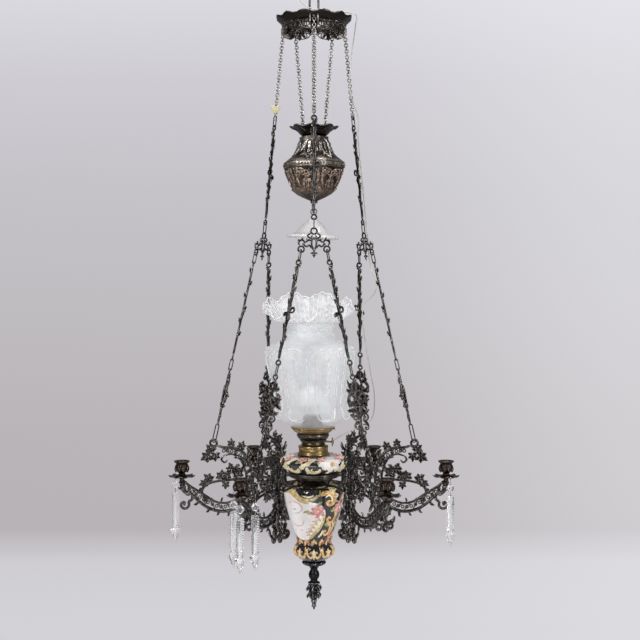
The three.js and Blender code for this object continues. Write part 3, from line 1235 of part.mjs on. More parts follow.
// The cord: from its connector over the crown, down along the right chain and hanger, to the burner.
function cordPath() {
  const along = (distance, out) => onLine(outerAngle, 1, distance).add(new THREE.Vector3(out, 0, 0))
    .applyAxisAngle(new THREE.Vector3(0, 0, 1), radians(CHAINS[1].azimuth));
  const at = (azimuth, radius, height) => new THREE.Vector3(radius, 0, height)
    .applyAxisAngle(new THREE.Vector3(0, 0, 1), radians(azimuth));
  const over = crownTop + 8;
  const barTop = upperEye + EYE_RADIUS;
  const barFoot = bracketTop - CORD_STANDOFF;
  return new THREE.CatmullRomCurve3([
    at(CONNECTOR_AZIMUTH, CONNECTOR_PLACE, connectorBase - GAP),
    at(CONNECTOR_AZIMUTH, CONNECTOR_PLACE - 2, connectorBase - 16),
    at(CONNECTOR_AZIMUTH + 40, HUB_RADIUS * 3, over + 4),
    at(-20, HUB_RADIUS * 4, over),
    at(-2, CROWN_RIM_RADIUS + 6, over - 2),
    at(6, CROWN_RIM_RADIUS + 8, over - 26),
    at(10, CROWN_WAIST_RADIUS + 14, pulleyHeight - 60),
    at(14, CROWN_WAIST_RADIUS + 12, pulleyHeight - 130),
    along(barTop - 30, CORD_STANDOFF * 1.5),
    along(barTop + 20, CORD_STANDOFF),
    along((barTop + barFoot) / 2, CORD_STANDOFF),
    along(barFoot, CORD_STANDOFF),
    along(bracketTop + BRACKET_HEIGHT, CORD_STANDOFF),
    at(20, BRACKET_RADIUS + 18, pulleyHeight - 560),
    at(26, BRACKET_RADIUS - 6, pulleyHeight - 600),
    at(24, SHADE_RADIUS + 22, pulleyHeight - 650),
    at(22, SHADE_RADIUS + 34, pulleyHeight - 730),
    at(22, SHADE_RADIUS + 46, pulleyHeight - 800),
    at(24, SHADE_RADIUS + 38, pulleyHeight - 850),
    at(CORD_AZIMUTH - 2, GALLERY_RADIUS + 34, shaftHeight + 16),
    at(CORD_AZIMUTH, GALLERY_RADIUS, shaftHeight),
    at(CORD_AZIMUTH, BURNER_NECK_RADIUS + 8, shaftHeight),
    at(CORD_AZIMUTH, BURNER_NECK_RADIUS - 8, shaftHeight),
  ], false, 'catmullrom', 0.5);
}

function lampCord() {
  const section = new THREE.Shape(polygon(0, 0, CORD_RADIUS, 4));
  return new THREE.ExtrudeGeometry(section, {
    steps: CORD_STEPS, bevelEnabled: false, extrudePath: cordPath(),
  });
}

function cordConnector() {
  return revolve([
    [0, connectorBase],
    [CONNECTOR_RADIUS * 0.6, connectorBase],
    [CONNECTOR_RADIUS, connectorBase + CONNECTOR_LENGTH * 0.3],
    [CONNECTOR_RADIUS, connectorBase + CONNECTOR_LENGTH],
    [0, connectorBase + CONNECTOR_LENGTH],
  ], 8).translate(CONNECTOR_PLACE, 0, 0).rotateZ(radians(CONNECTOR_AZIMUTH));
}

addPiece('hanging_loop', hangingLoop(), 'steel');
addPiece('pulley_frame', pulleyFrame(), 'bronze');
addPiece('canopy_crown', canopyCrown(), 'bronze');
CHAINS.forEach(({ name, azimuth }) => {
  addPiece(`chain_${name}`, chain(), 'steel', azimuth);
  addPiece(`pulley_wheel_${name}`, pulleyWheel(), 'bronze', azimuth);
  addPiece(`pulley_pin_${name}`, pulleyPin(), 'steel', azimuth);
  addPiece(`upper_bar_${name}`, upperBar(), 'bronze', azimuth);
  addPiece(`hanger_bracket_${name}`, hangerBracket(), 'bronze', azimuth);
});
CHAINS.flatMap(({ azimuth }) => [-1, 1].map((side) => ({ side, azimuth: (azimuth + side * ARM_SPREAD) % 360 })))
  .sort((a, b) => a.azimuth - b.azimuth)
  .forEach(({ side, azimuth }, i) => {
    const turns = DROPS.filter((drop) => drop.azimuth === azimuth).map(({ turn }) => turn);
    addPiece(`lower_hanger_${i + 1}`, lowerHanger(side), 'bronze', azimuth);
    addPiece(`arm_${i + 1}`, arm(), 'bronze', azimuth);
    addPiece(`candle_cup_${i + 1}`, candleCup(turns), 'bronze', azimuth);
  });
DROPS.forEach(({ name, azimuth, turn }) => addPiece(name, glassDrop(turn), 'crystal', azimuth));
addPiece('weight_cover', weightCover(), 'weight');
addPiece('weight_shell', weightShell(), 'weight');
addPiece('weight_ballast', ballast(), 'lead');
addPiece('weight_rod', weightRod(), 'bronze');
addPiece('smoke_bell', smokeBell(), 'opal');
addPiece('finial', finial(), 'bronze');
addPiece('tie_rod', tieRod(), 'steel');
addPiece('vase', vase(), 'glaze');
addPiece('font_holder', fontHolder(), 'bronze');
addPiece('font', font(), 'glaze');
addPiece('font_collar', fontCollar(), 'brass');
addPiece('burner', burner(), 'bronze');
addPiece('wick_knob', wickKnob(), 'brass');
addPiece('gallery', gallery(), 'brass');
addPiece('bulb_socket', bulbSocket(), 'plastic');
addPiece('bulb', bulb(), 'opal');
addPiece('shade', shade(), 'frosted');
addPiece('lamp_cord', lampCord(), 'plastic');
addPiece('cord_connector', cordConnector(), 'plastic');

export default group;
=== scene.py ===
# %% [markdown]
# # A hanging kerosene lamp with chains, candle arms and painted ware
# The solids of the lamp come ready made and stand still. This lesson dresses them: each piece is either kept
# and given a finish, or replaced by a finer one that lies in the same place. We start with the frame, then
# the camera, the cord and the light, and then go down the lamp from its crown to its finial.

# %% Load the frame
import math

import bmesh
import bpy
import numpy as np
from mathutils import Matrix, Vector


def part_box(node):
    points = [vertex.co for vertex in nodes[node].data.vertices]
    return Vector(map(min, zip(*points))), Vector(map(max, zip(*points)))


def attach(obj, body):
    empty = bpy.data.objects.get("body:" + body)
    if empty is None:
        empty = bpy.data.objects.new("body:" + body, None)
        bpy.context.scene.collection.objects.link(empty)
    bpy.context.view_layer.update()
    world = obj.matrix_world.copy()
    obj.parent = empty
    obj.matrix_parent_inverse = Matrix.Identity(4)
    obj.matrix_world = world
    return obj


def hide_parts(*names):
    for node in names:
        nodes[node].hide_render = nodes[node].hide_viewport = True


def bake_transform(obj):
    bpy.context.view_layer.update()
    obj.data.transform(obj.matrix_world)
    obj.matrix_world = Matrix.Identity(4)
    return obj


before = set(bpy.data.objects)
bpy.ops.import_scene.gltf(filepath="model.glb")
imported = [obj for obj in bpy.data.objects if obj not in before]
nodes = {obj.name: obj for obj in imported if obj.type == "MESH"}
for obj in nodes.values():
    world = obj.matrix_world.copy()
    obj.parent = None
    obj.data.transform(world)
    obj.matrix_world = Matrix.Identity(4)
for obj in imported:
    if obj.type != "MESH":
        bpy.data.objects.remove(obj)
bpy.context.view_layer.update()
MM = 0.001

# %% [markdown]
# The picture was taken from the height of the shade, with a lens of about thirty degrees. We could guess a
# view, but the six equal arms give it: their candle cups lie on a flat ellipse whose height tells how far the
# camera was, so the numbers below are measured ones. A small shift keeps the uprights straight.

# %% Camera
IMAGE_SIZE = 640
FOCAL = 1186
HORIZON = 293
AXIS = 314
CAMERA_DISTANCE, CAMERA_HEIGHT = 2.55, -0.6386

camera_data = bpy.data.cameras.new("camera")
camera_data.sensor_width = 36
camera_data.lens = camera_data.sensor_width * FOCAL / IMAGE_SIZE
camera_data.shift_x = (IMAGE_SIZE / 2 - AXIS) / IMAGE_SIZE
camera_data.shift_y = -(IMAGE_SIZE / 2 - HORIZON) / IMAGE_SIZE
camera_data.clip_end = 30
camera = bpy.data.objects.new("camera", camera_data)
camera.location = (0, -CAMERA_DISTANCE, CAMERA_HEIGHT)
camera.rotation_euler = (math.pi / 2, 0, 0)
bpy.context.collection.objects.link(camera)
bpy.context.scene.camera = camera
bpy.context.scene.view_settings.view_transform = "Standard"
print("lens in mm:", round(camera_data.lens, 1))

# %% [markdown]
# Finishes are node trees. Wiring them by hand is slow to read, so a small class wraps a socket and overloads
# the operators: `1 - noise * 0.3` then adds its Math nodes by itself. Numbers alone stay plain Python.

# %% The shader language
class Value:
    """A socket of a material's node tree, with arithmetic."""

    def __init__(self, tree, socket):
        self.tree, self.socket = tree, socket

    def math(self, operation, *others):
        return self.tree.node("ShaderNodeMath", {"operation": operation}, {
            index: item for index, item in enumerate((self, *others))})

    def __add__(self, other):
        return self.math("ADD", other)

    def __radd__(self, other):
        return self.math("ADD", other)

    def __mul__(self, other):
        return self.math("MULTIPLY", other)

    def __rmul__(self, other):
        return self.math("MULTIPLY", other)

    def __sub__(self, other):
        return self.math("SUBTRACT", other)

    def __rsub__(self, other):
        return self.tree.node("ShaderNodeMath", {"operation": "SUBTRACT"}, {0: other, 1: self})

    def __truediv__(self, other):
        return self.math("DIVIDE", other)

    def __gt__(self, other):
        return self.math("GREATER_THAN", other)

    def smooth(self, low, high):
        """0 below low, 1 above high, and a soft step between."""
        return self.tree.node("ShaderNodeMapRange", {"interpolation_type": "SMOOTHSTEP"}, {
            "Value": self, "From Min": low, "From Max": high})

    def ramp(self, *stops):
        """A colour for the value: each stop is a place and a colour."""
        return self.tree.node("ShaderNodeValToRGB", {"stops": stops}, {"Fac": self})


print("arithmetic on sockets ready")

# %% Finishes
class Finish:
    """A material, with one method that adds any node and short names for the usual ones."""

    def __init__(self, name, **constants):
        self.material = bpy.data.materials.new(name)
        self.material.use_nodes = True
        self.nodes = self.material.node_tree.nodes
        self.links = self.material.node_tree.links
        self.shader = self.nodes["Principled BSDF"]
        for key, value in constants.items():
            self.put(self.shader.inputs[key.replace("_", " ")], value)

    def put(self, socket, value):
        if isinstance(value, Value):
            self.links.new(value.socket, socket)
        elif isinstance(value, (tuple, list)) and len(value) == 3 and len(socket.default_value) == 4:
            socket.default_value = (*value, 1)
        else:
            socket.default_value = value

    def node(self, kind, settings=None, inputs=None, output=0):
        made = self.nodes.new(kind)
        for key, value in (settings or {}).items():
            if key == "stops":
                elements = made.color_ramp.elements
                while len(elements) < len(value):
                    elements.new(0.5)
                for element, (place, colour) in zip(elements, value):
                    element.position = place
                    element.color = (*colour, 1)
            else:
                setattr(made, key, value)
        for key, value in (inputs or {}).items():
            self.put(made.inputs[key], value)
        return Value(self, made.outputs[output])

    def place(self):
        return self.node("ShaderNodeTexCoord", output="Object")

    def noise(self, scale, detail=3, rough=0.5):
        return self.node("ShaderNodeTexNoise", inputs={
            "Vector": self.place(), "Scale": scale, "Detail": detail, "Roughness": rough})

    def axes(self):
        """The three coordinates, in metres."""
        split = self.node("ShaderNodeSeparateXYZ", inputs={"Vector": self.place()})
        return [Value(self, output) for output in split.socket.node.outputs]

    def mix(self, factor, first, second):
        made = self.nodes.new("ShaderNodeMix")
        made.data_type = "RGBA"
        for name, value in (("Factor_Float", factor), ("A_Color", first), ("B_Color", second)):
            self.put(next(i for i in made.inputs if i.identifier == name), value)
        return Value(self, next(o for o in made.outputs if o.identifier == "Result_Color"))

    def set(self, name, value):
        self.put(self.shader.inputs[name], value)

    def bump(self, height, distance, strength=1.0):
        self.set("Normal", self.node("ShaderNodeBump", inputs={
            "Height": height, "Distance": distance, "Strength": strength}))

    def edges(self, low, high):
        """1 on ridges and 0 in hollows, from the shape itself."""
        return self.node("ShaderNodeNewGeometry", output="Pointiness").smooth(low, high)


print("finishes ready")

# %% [markdown]
# Blackened bronze is most of this lamp. Old castings are not one black: the hollows hold soot and oil, while
# the ridges are rubbed to a greyish brown sheen, and their light colour is also a painted highlight. The
# shape tells where the ridges are, and noise breaks it up.

# %% Metals
def blackened(name, dark, light, rough, metallic):
    finish = Finish(name, Metallic=metallic)
    grain = finish.noise(900, 4, 0.6)
    patches = finish.noise(45, 3)
    facets = finish.noise(210, 3, 0.6)
    # the light colour on the ridges is rubbed metal and a painted highlight
    wear_and_highlight = finish.edges(0.53, 0.645) * (0.25 + 0.75 * facets.smooth(0.42, 0.60))
    finish.set("Base Color", finish.mix(wear_and_highlight * (0.65 + 0.35 * grain), dark, light))
    finish.set("Roughness", rough + 0.16 * patches - 0.1 * wear_and_highlight)
    finish.bump(grain * 0.1 + facets * 0.5 + patches, 0.0009, 0.4)
    return finish.material


def polished(name, base, tarnish, rough, spread):
    finish = Finish(name, Metallic=1.0)
    patches = finish.noise(60, 4, 0.6)
    streaks = finish.noise(420, 2)
    mask = patches.smooth(0.42, 0.68) * spread + streaks.smooth(0.5, 0.8) * 0.15
    finish.set("Base Color", finish.mix(mask, base, tarnish))
    finish.set("Roughness", rough + mask * 0.25)
    finish.bump(streaks, 0.0002, 0.3)
    return finish.material


bronze = blackened("blackened bronze", (0.016, 0.014, 0.013), (0.70, 0.65, 0.61), rough=0.22, metallic=0.9)
crown_bronze = blackened("crown bronze", (0.024, 0.020, 0.017), (0.55, 0.47, 0.41), rough=0.26, metallic=0.9)
finial_bronze = blackened("finial bronze", (0.022, 0.022, 0.023), (0.62, 0.61, 0.60), rough=0.22,
                          metallic=0.9)
cup_bronze = blackened("cup bronze", (0.034, 0.023, 0.018), (0.46, 0.35, 0.29), rough=0.26, metallic=0.9)
steel = polished("nickel wire", (0.56, 0.54, 0.51), (0.10, 0.09, 0.08), 0.26, 0.8)
dark_steel = polished("dark steel", (0.16, 0.15, 0.14), (0.05, 0.045, 0.04), 0.38, 0.6)
brass = polished("aged brass", (0.52, 0.38, 0.17), (0.20, 0.13, 0.06), 0.28, 0.7)
print("metals:", len(bpy.data.materials))
# %% [markdown]
# Nearly all pieces are one of three forms: a tube along a smooth line, a turned profile, or a casting drawn
# flat out of strokes, leaves and beads. We could sculpt them, but a few helpers that skin rings of points
# give clean meshes that stay easy to change. All of them work in millimetres, and the last step scales to
# metres.

# %% Smooth lines
def spline(points, steps=6, closed=False):
    """A smooth line through the points."""
    p = np.array(points, float)
    if closed:
        ends = np.vstack([p[-1:], p, p[:2]])
    else:
        ends = np.vstack([2 * p[:1] - p[1:2], p, 2 * p[-1:] - p[-2:-1]])
    t = np.linspace(0, 1, steps, endpoint=False)[:, None]
    spans = []
    for a, b, c, d in zip(ends, ends[1:], ends[2:], ends[3:]):
        spans.append(0.5 * (2 * b + (c - a) * t + (2 * a - 5 * b + 4 * c - d) * t ** 2
                            + (3 * b - a - 3 * c + d) * t ** 3))
    line = np.vstack(spans)
    return line if closed else np.vstack([line, p[-1:]])


def directions(line, closed=False):
    if closed:
        d = np.roll(line, -1, 0) - np.roll(line, 1, 0)
    else:
        d = np.gradient(line, axis=0)
    return d / np.maximum(np.linalg.norm(d, axis=1, keepdims=True), 1e-9)


def full_turn(count):
    """Even angles all the way round."""
    return np.arange(count) * 2 * math.pi / count


def around(radius, angle, height):
    """Points at these radii, angles and heights about the lamp's axis."""
    return np.stack(np.broadcast_arrays(radius * np.cos(angle), radius * np.sin(angle), height), -1)


print("points on a smooth line:", len(spline([(0, 0), (1, 2), (2, 0)])))

# %% Skins over rings
def skin(rings, closed=False, caps=True):
    """Faces over rings of points: an array of rings, points and three coordinates."""
    rings = np.array(rings, float)
    n, m = rings.shape[:2]
    faces = []
    for i in range(n if closed else n - 1):
        a, b = i * m, (i + 1) % n * m
        for k in range(m):
            faces.append((a + k, a + (k + 1) % m, b + (k + 1) % m, b + k))
    if caps and not closed:
        faces += [tuple(range(m))[::-1], tuple(range((n - 1) * m, n * m))]
    return rings.reshape(-1, 3), faces


def tube(points, radius, sides=8, closed=False):
    """A round tube whose rings turn as little as they can. Radius is a number or one for each point."""
    line = np.array(points, float)
    radius = np.broadcast_to(radius, len(line))
    along = directions(line, closed)
    up = np.cross(along[0], (0.3, 0.5, 0.8))
    up /= np.linalg.norm(up)
    angle = full_turn(sides)
    rings = []
    for point, way, r in zip(line, along, radius):
        up = up - way * up.dot(way)
        up /= np.linalg.norm(up)
        side = np.cross(way, up)
        rings.append(point + r * (np.cos(angle)[:, None] * up + np.sin(angle)[:, None] * side))
    return skin(rings, closed)


def turned(profile, sides=48, shape=None):
    """A profile of radius and height turned about the axis. Shape may change radius and height by angle."""
    angle = full_turn(sides)
    rings = []
    for r, z in profile:
        radius, height = np.full(sides, r), np.full(sides, z)
        if shape:
            radius, height = shape(angle, radius, height)
        rings.append(around(radius, angle, height))
    return skin(rings, caps=False)


print("faces of a square tube:", len(tube([(0, 0, 0), (0, 0, 1)], 1, 4)[1]))

# %% Meshes that become objects
class Mesh:
    """Collects points and faces in mm until they are made into an object."""

    def __init__(self):
        self.points, self.faces, self.count = [], [], 0

    def add(self, made, move=None):
        points, faces = made
        points = np.array(points, float)
        if move is not None:
            points = move(points)
        self.points.append(points)
        self.faces += [tuple(i + self.count for i in face) for face in faces]
        self.count += len(points)
        return self

    def object(self, name, material, body=None, replaces=(), slot=None, soft=True, mapping=None):
        points = np.vstack(self.points)
        if mapping:
            points = mapping(points)
        data = bpy.data.meshes.new(name)
        data.from_pydata((points * MM).tolist(), [], self.faces)
        data.validate()
        if soft:
            data.shade_smooth()
        data.materials.append(material)
        made = bpy.data.objects.new(name, data)
        bpy.context.collection.objects.link(made)
        face_outward(data)
        if body:
            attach(made, body)
        if replaces:
            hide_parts(*replaces)
        return made


def whole(casting):
    return np.vstack(casting.points), casting.faces


def face_outward(data):
    work = bmesh.new()
    work.from_mesh(data)
    bmesh.ops.recalc_face_normals(work, faces=work.faces)
    work.to_mesh(data)
    work.free()


def turn(azimuth, radius=0.0, height=0.0):
    """A move that turns points by the azimuth in degrees, after a shift along X and up."""
    c, s = math.cos(math.radians(azimuth)), math.sin(math.radians(azimuth))

    def move(p):
        x, y, z = p[:, 0] + radius, p[:, 1], p[:, 2] + height
        return np.stack([c * x - s * y, s * x + c * y, z], 1)
    return move


print("mesh helpers ready")

# %% [markdown]
# A casting is drawn flat: a stroke is a rounded rail that may change width, a leaf is a lobed blade with a
# raised midrib and drawn-in edges, and a bead or a rosette fills the eyes of scrolls. A mapping then stands
# the drawing up, bends it around the vase, or wraps it round the crown.

# %% Drawing castings
SECTION = np.array([(-1, 0), (-0.62, 0.9), (0, 0.45), (0.62, 0.9), (1, 0), (0.62, -0.9), (0, -0.45),
                    (-0.62, -0.9)])
STROKE_SIDES, STROKE_END, LEAF_BASE, LEAF_TIP = 8, 0.45, 0.35, 0.03


def aim(x, y, reach, angle):
    """The point of a drawing that lies so far from x and y, at the angle."""
    return x + reach * math.cos(angle), y + reach * math.sin(angle)


class Casting(Mesh):
    """A flat drawing. x runs across, y up, and z stands out of it. Swell makes all its strokes bolder."""

    def __init__(self, swell=1.0):
        super().__init__()
        self.swell = swell

    def stroke(self, points, width, depth=None, steps=5, closed=False, lift=0.0):
        """A rounded rail along the points; width is a number or a list spread along it."""
        line = spline(points, steps, closed)
        share = np.linspace(0, 1, len(line))
        width = np.interp(share, np.linspace(0, 1, np.size(width)), np.ravel(width)) * self.swell
        depth = np.broadcast_to(width * 1.05 if depth is None else depth, len(line)).copy()
        if not closed:
            shut = np.ones(len(line))
            shut[0] = shut[-1] = STROKE_END
            width, depth = width * shut, depth * shut
        way = directions(line, closed)
        across = np.stack([-way[:, 1], way[:, 0]], 1)
        angle = full_turn(STROKE_SIDES)
        rings = np.zeros((len(line), STROKE_SIDES, 3))
        spread = np.cos(angle)[None, :, None] * width[:, None, None] / 2
        rings[:, :, :2] = line[:, None] + across[:, None] * spread
        rings[:, :, 2] = lift + np.sin(angle)[None] * depth[:, None] / 2
        return self.add(skin(rings, closed))

    def leaf(self, points, width, lobes=3, depth=3.0, curl=0.0, lift=0.0, sweep=0.5, notch=0.45):
        """A lobed blade along a line of points, whose tip may curl out of the drawing."""
        line = spline(points, 4)
        length = np.linalg.norm(np.diff(line, axis=0), axis=1).sum()
        stops = [0.0]
        sizes = [LEAF_BASE]
        for lobe in range(lobes):
            start, span = lobe / (lobes + 0.6), 1 / (lobes + 0.6)
            full = math.sin(math.pi * min(0.92, 0.32 + 0.5 * (lobe + 0.6) / lobes))
            stops += [start + span * 0.45, start + span * 0.8, start + span * 0.98]
            sizes += [full * 0.85, full, full * (1 - notch)]
        stops += [0.94, 1.0]
        sizes += [0.22, LEAF_TIP]
        share = np.linspace(0, 1, len(line))
        spots = np.stack([np.interp(stops, share, line[:, 0]), np.interp(stops, share, line[:, 1])], 1)
        way = directions(line)
        ways = np.stack([np.interp(stops, share, way[:, 0]), np.interp(stops, share, way[:, 1])], 1)
        ways /= np.maximum(np.linalg.norm(ways, axis=1, keepdims=True), 1e-9)
        across = np.stack([-ways[:, 1], ways[:, 0]], 1)
        rings = np.zeros((len(stops), 8, 3))
        for i, (t, size) in enumerate(zip(stops, sizes)):
            tip = i % 3 == 2 and 0 < i < len(stops) - 2
            for k, (u, v) in enumerate(SECTION):
                ahead = abs(u) * sweep * length / (lobes + 1) * (1.0 if tip else 0.35)
                rings[i, k, :2] = spots[i] + across[i] * u * size * width / 2 + ways[i] * ahead
                thickness = depth * (0.35 + 0.65 * min(1, size * 1.3))
                rings[i, k, 2] = lift + v * thickness / 2 + curl * t * t * length
        return self.add(skin(rings))

    def star(self, x, y, size, toward, depth, curl, lift):
        """An ivy leaf: five pointed lobes around a middle, the longest one towards the angle."""
        for k in range(5):
            a = math.radians(toward + (k - 2) * 60)
            reach = size * (1 if k == 2 else 0.82)
            self.leaf([(x, y), aim(x, y, reach * 0.5, a), aim(x, y, reach, a)], size * 0.74, 1, depth,
                      curl, lift, 0.1, 0.3)
        return self

    def bead(self, x, y, radius, lift=0.0, depth=None):
        depth = radius if depth is None else depth
        rings = []
        for a in np.linspace(-math.pi / 2 + 0.25, math.pi / 2 - 0.25, 5):
            flat = around(radius * math.cos(a), full_turn(STROKE_SIDES), lift + depth * math.sin(a))
            rings.append(flat + (x, y, 0))
        return self.add(skin(rings))

    def ring(self, x, y, radius, wire, depth=None, count=12):
        path = around(radius, full_turn(count), 0)[:, :2] + (x, y)
        return self.stroke(path, wire, depth, steps=2, closed=True)

    def volute(self, x, y, radius, start, turns=1.3, width=3.0, hand=1, eye=True, depth=None, lead=()):
        """A scroll that winds inwards from the start angle in degrees. Lead points run into it."""
        spiral = []
        count = max(6, int(turns * 8))
        for k in range(count + 1):
            share = k / count
            a = math.radians(start) + hand * share * turns * 2 * math.pi
            spiral.append(aim(x, y, radius * (1 - share) ** 0.8 + width * 0.55, a))
        self.stroke([*lead, *spiral], np.linspace(width, width * 0.75, 5), depth, steps=3)
        if eye:
            self.bead(x, y, width * 0.75, depth=width * 0.7)
        return self

    def rosette(self, x, y, radius, petals=5, depth=2.4, lift=0.0, cup=0.4, start=90):
        """A flower: a closed disc whose rim is drawn in between the petals."""
        k = full_turn(petals * 6)
        lobe = np.abs(np.cos(petals * (k - math.radians(start)) / 2)) ** 0.55
        rings = []
        for share, height in ((0.02, -0.4), (1.0, -0.4), (1.06, 0.1), (0.82, 0.75), (0.45, 0.5), (0.16, 0.2),
                              (0.02, 0.2)):
            r = radius * share * (1 - cup * (1 - lobe) * min(1, share * 1.6))
            dome = 0.45 + 0.55 * lobe * (share > 0.3)
            rings.append(around(r, k, lift + depth * height * dome) + (x, y, 0))
        return self.add(skin(rings))

    def c_scroll(self, x, y, size, tip, hand=1, width=5.0, depth=2.2, lift=0.3):
        """A leafy C: a thick curve with a volute at one end and lobed leaves at the other."""
        c, s = math.cos(math.radians(tip)), math.sin(math.radians(tip))

        def place(u, v):
            return (x + size * (c * u - s * v * hand), y + size * (s * u + c * v * hand))
        self.stroke([place(0.9, 0.15), place(0.55, 0.72), place(-0.1, 0.8), place(-0.7, 0.45),
                     place(-0.8, -0.15), place(-0.4, -0.5), place(-0.05, -0.3), place(-0.2, -0.02)],
                    width * np.array([0.45, 1, 1.15, 1, 0.85, 0.7, 0.6, 0.5]), depth, lift=lift, steps=4)
        self.bead(*place(-0.22, -0.08), width * 0.5, lift, depth * 0.55)
        self.leaf([place(0.45, 0.75), place(0.85, 0.5), place(1.15, 0.0)], width * 1.6, 3, depth, 0,
                  lift + 0.2)
        return self.leaf([place(-0.2, 0.85), place(-0.55, 1.05), place(-0.95, 0.9)], width * 1.2, 2,
                         depth * 0.9, 0, lift)


def upright(p):
    """Stands a drawing up: x runs outwards, y up and z sideways."""
    return p[:, [0, 2, 1]] * (1, -1, 1)


def hung(top, foot, across):
    """Hangs a drawing from a point: its -y runs towards the foot, x along across."""
    top, foot = np.array(top, float), np.array(foot, float)
    down = (foot - top) / np.linalg.norm(foot - top)
    side = np.array(across, float)
    side = side - down * side.dot(down)
    side /= np.linalg.norm(side)
    out = np.cross(side, down)

    def move(p):
        return top + p[:, :1] * side - p[:, 1:2] * down + p[:, 2:] * out
    return move


print("drawing helpers ready")
# %% [markdown]
# The lamp was wired for electricity later: a thin clear flex comes down from the crown, clings to one of the
# bars and hangs loosely beside the shade to the burner. A curve would do for a still, but this one has to
# bend when the lamp is pulled down, so it is a mesh tube along the same route as its solid.

# %% The cord
CORD_WIDTH = 2.4
flex = Finish("clear flex", Roughness=0.25, IOR=1.5, Coat_Weight=0.4)
flex.set("Base Color", flex.noise(120).ramp((0.3, (0.60, 0.57, 0.50)), (0.7, (0.76, 0.74, 0.69))))
flex.bump(flex.noise(400), 0.0002, 0.4)

route = [(-32.8, -22.9, 4.7), (-31.1, -21.8, -11.0), (-9.3, -34.8, -33.7), (45.1, -16.4, -37.7),
         (87.9, -3.1, -39.7), (89.5, 9.4, -63.7), (80.8, 14.2, -129.3), (77.6, 19.4, -199.3),
         (96.6, 55.8, -253.2), (97.5, 56.3, -302.9), (106.3, 61.3, -393.1), (116.9, 67.5, -503.3),
         (123.6, 71.4, -572.8), (136.3, 49.6, -629.3), (108.8, 53.0, -669.3), (108.7, 48.4, -719.3),
         (121.5, 49.1, -799.3), (132.6, 53.6, -869.3), (123.3, 54.9, -919.3), (71.5, 38.0, -942.6),
         (40.7, 23.5, -958.6), (28.6, 16.5, -958.6), (14.7, 8.5, -958.6)]
line = spline(route[::-1], 12)
cord = Mesh().add(tube(line, CORD_WIDTH / 2, 8)).object("lamp_cord_flex", flex.material, slot="cord")
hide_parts("lamp_cord")
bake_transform(cord)

# %% [markdown]
# The room is one pale sweep: a floor that curves up into a backdrop. For the camera, and for what is seen
# through glass, it glows with painted light and shade: light on top and to the right, darkest above the
# floor. Metal sees the unlit paper and the soft lamps instead, which keeps black bronze black and its
# highlights bright.

# %% The paper sweep
FLOOR, FLOOR_FRONT, FLOOR_BACK, SWEEP_RADIUS, WALL_TOP = -1.72, -4.0, 2.2, 1.3, 4.0
PAPER_LIGHT, GLOW = 0.03, 0.9


def sweep_stage():
    profile = [(FLOOR_FRONT, FLOOR), (FLOOR_BACK, FLOOR)]
    for a in np.linspace(0.1, math.pi / 2, 12):
        profile.append((FLOOR_BACK + SWEEP_RADIUS * math.sin(a), FLOOR + SWEEP_RADIUS * (1 - math.cos(a))))
    profile.append((FLOOR_BACK + SWEEP_RADIUS, WALL_TOP))
    rows = np.array([[(x, y, z) for x in (-6.0, 6.0)] for y, z in profile])
    faces = [(2 * i, 2 * i + 1, 2 * i + 3, 2 * i + 2) for i in range(len(profile) - 1)]
    data = bpy.data.meshes.new("studio sweep")
    data.from_pydata(rows.reshape(-1, 3).tolist(), [], faces)
    data.shade_smooth()
    made = bpy.data.objects.new("studio_sweep", data)
    bpy.context.collection.objects.link(made)
    return made


print("sweep from", FLOOR, "to", WALL_TOP)

# %% The paper's painted light and shade
def shown(*levels):
    """The colour that shows on screen with these levels of 255, less the light that the paper adds itself."""
    return tuple((((v / 255 + 0.055) / 1.055) ** 2.4 - PAPER_LIGHT) / GLOW for v in levels)


paper = Finish("studio paper", Roughness=0.9)
x, y, z = paper.axes()
# painted light and shade on the paper: the wall lightest at the top and darkest above the floor, the floor
# lighter towards the front, and all of it lighter to the right
wall = ((z + 1.8) / 2.7).ramp((0.0, shown(183, 178, 182)), (0.18, shown(185, 180, 183)),
                              (0.40, shown(191, 188, 192)), (0.62, shown(196, 194, 199)),
                              (0.83, shown(206, 204, 210)), (1.0, shown(219, 218, 225)))
floor = ((z - FLOOR) / 0.06).ramp((0.0, shown(206, 204, 209)), (0.15, shown(200, 197, 201)),
                                  (1.0, shown(183, 178, 182)))
near = (1.9 - y).smooth(-0.6, 0.5)
floor = paper.mix(near, floor, shown(209, 208, 212))
tone = paper.mix((z + 1.66) > 0.0, floor, wall)
painted_paper_light = paper.mix(x.smooth(-0.4, 1.9) * 0.4, tone, shown(244, 244, 248))
paper.set("Base Color", (0.72, 0.71, 0.72))
rays = paper.nodes.new("ShaderNodeLightPath")
seen = Value(paper, rays.outputs["Is Camera Ray"]) + Value(paper, rays.outputs["Is Transmission Ray"])
seen = seen.math("MINIMUM", 1.0) * GLOW
glow = paper.node("ShaderNodeEmission", inputs={"Color": painted_paper_light, "Strength": 1.0})
blend = paper.node("ShaderNodeMixShader", inputs={0: seen})
paper.links.new(paper.shader.outputs[0], blend.socket.node.inputs[1])
paper.links.new(glow.socket, blend.socket.node.inputs[2])
paper.links.new(blend.socket, paper.nodes["Material Output"].inputs["Surface"])
stage = sweep_stage()
stage.data.materials.append(paper.material)
print("stage:", stage.name)

# %% Soft lights
def softbox(name, place, target, size, power):
    data = bpy.data.lights.new(name, "AREA")
    data.shape = "RECTANGLE"
    data.size, data.size_y = size
    data.energy = power
    lamp = bpy.data.objects.new(name, data)
    lamp.location = place
    lamp.rotation_euler = (Vector(target) - Vector(place)).to_track_quat("-Z", "Y").to_euler()
    bpy.context.collection.objects.link(lamp)


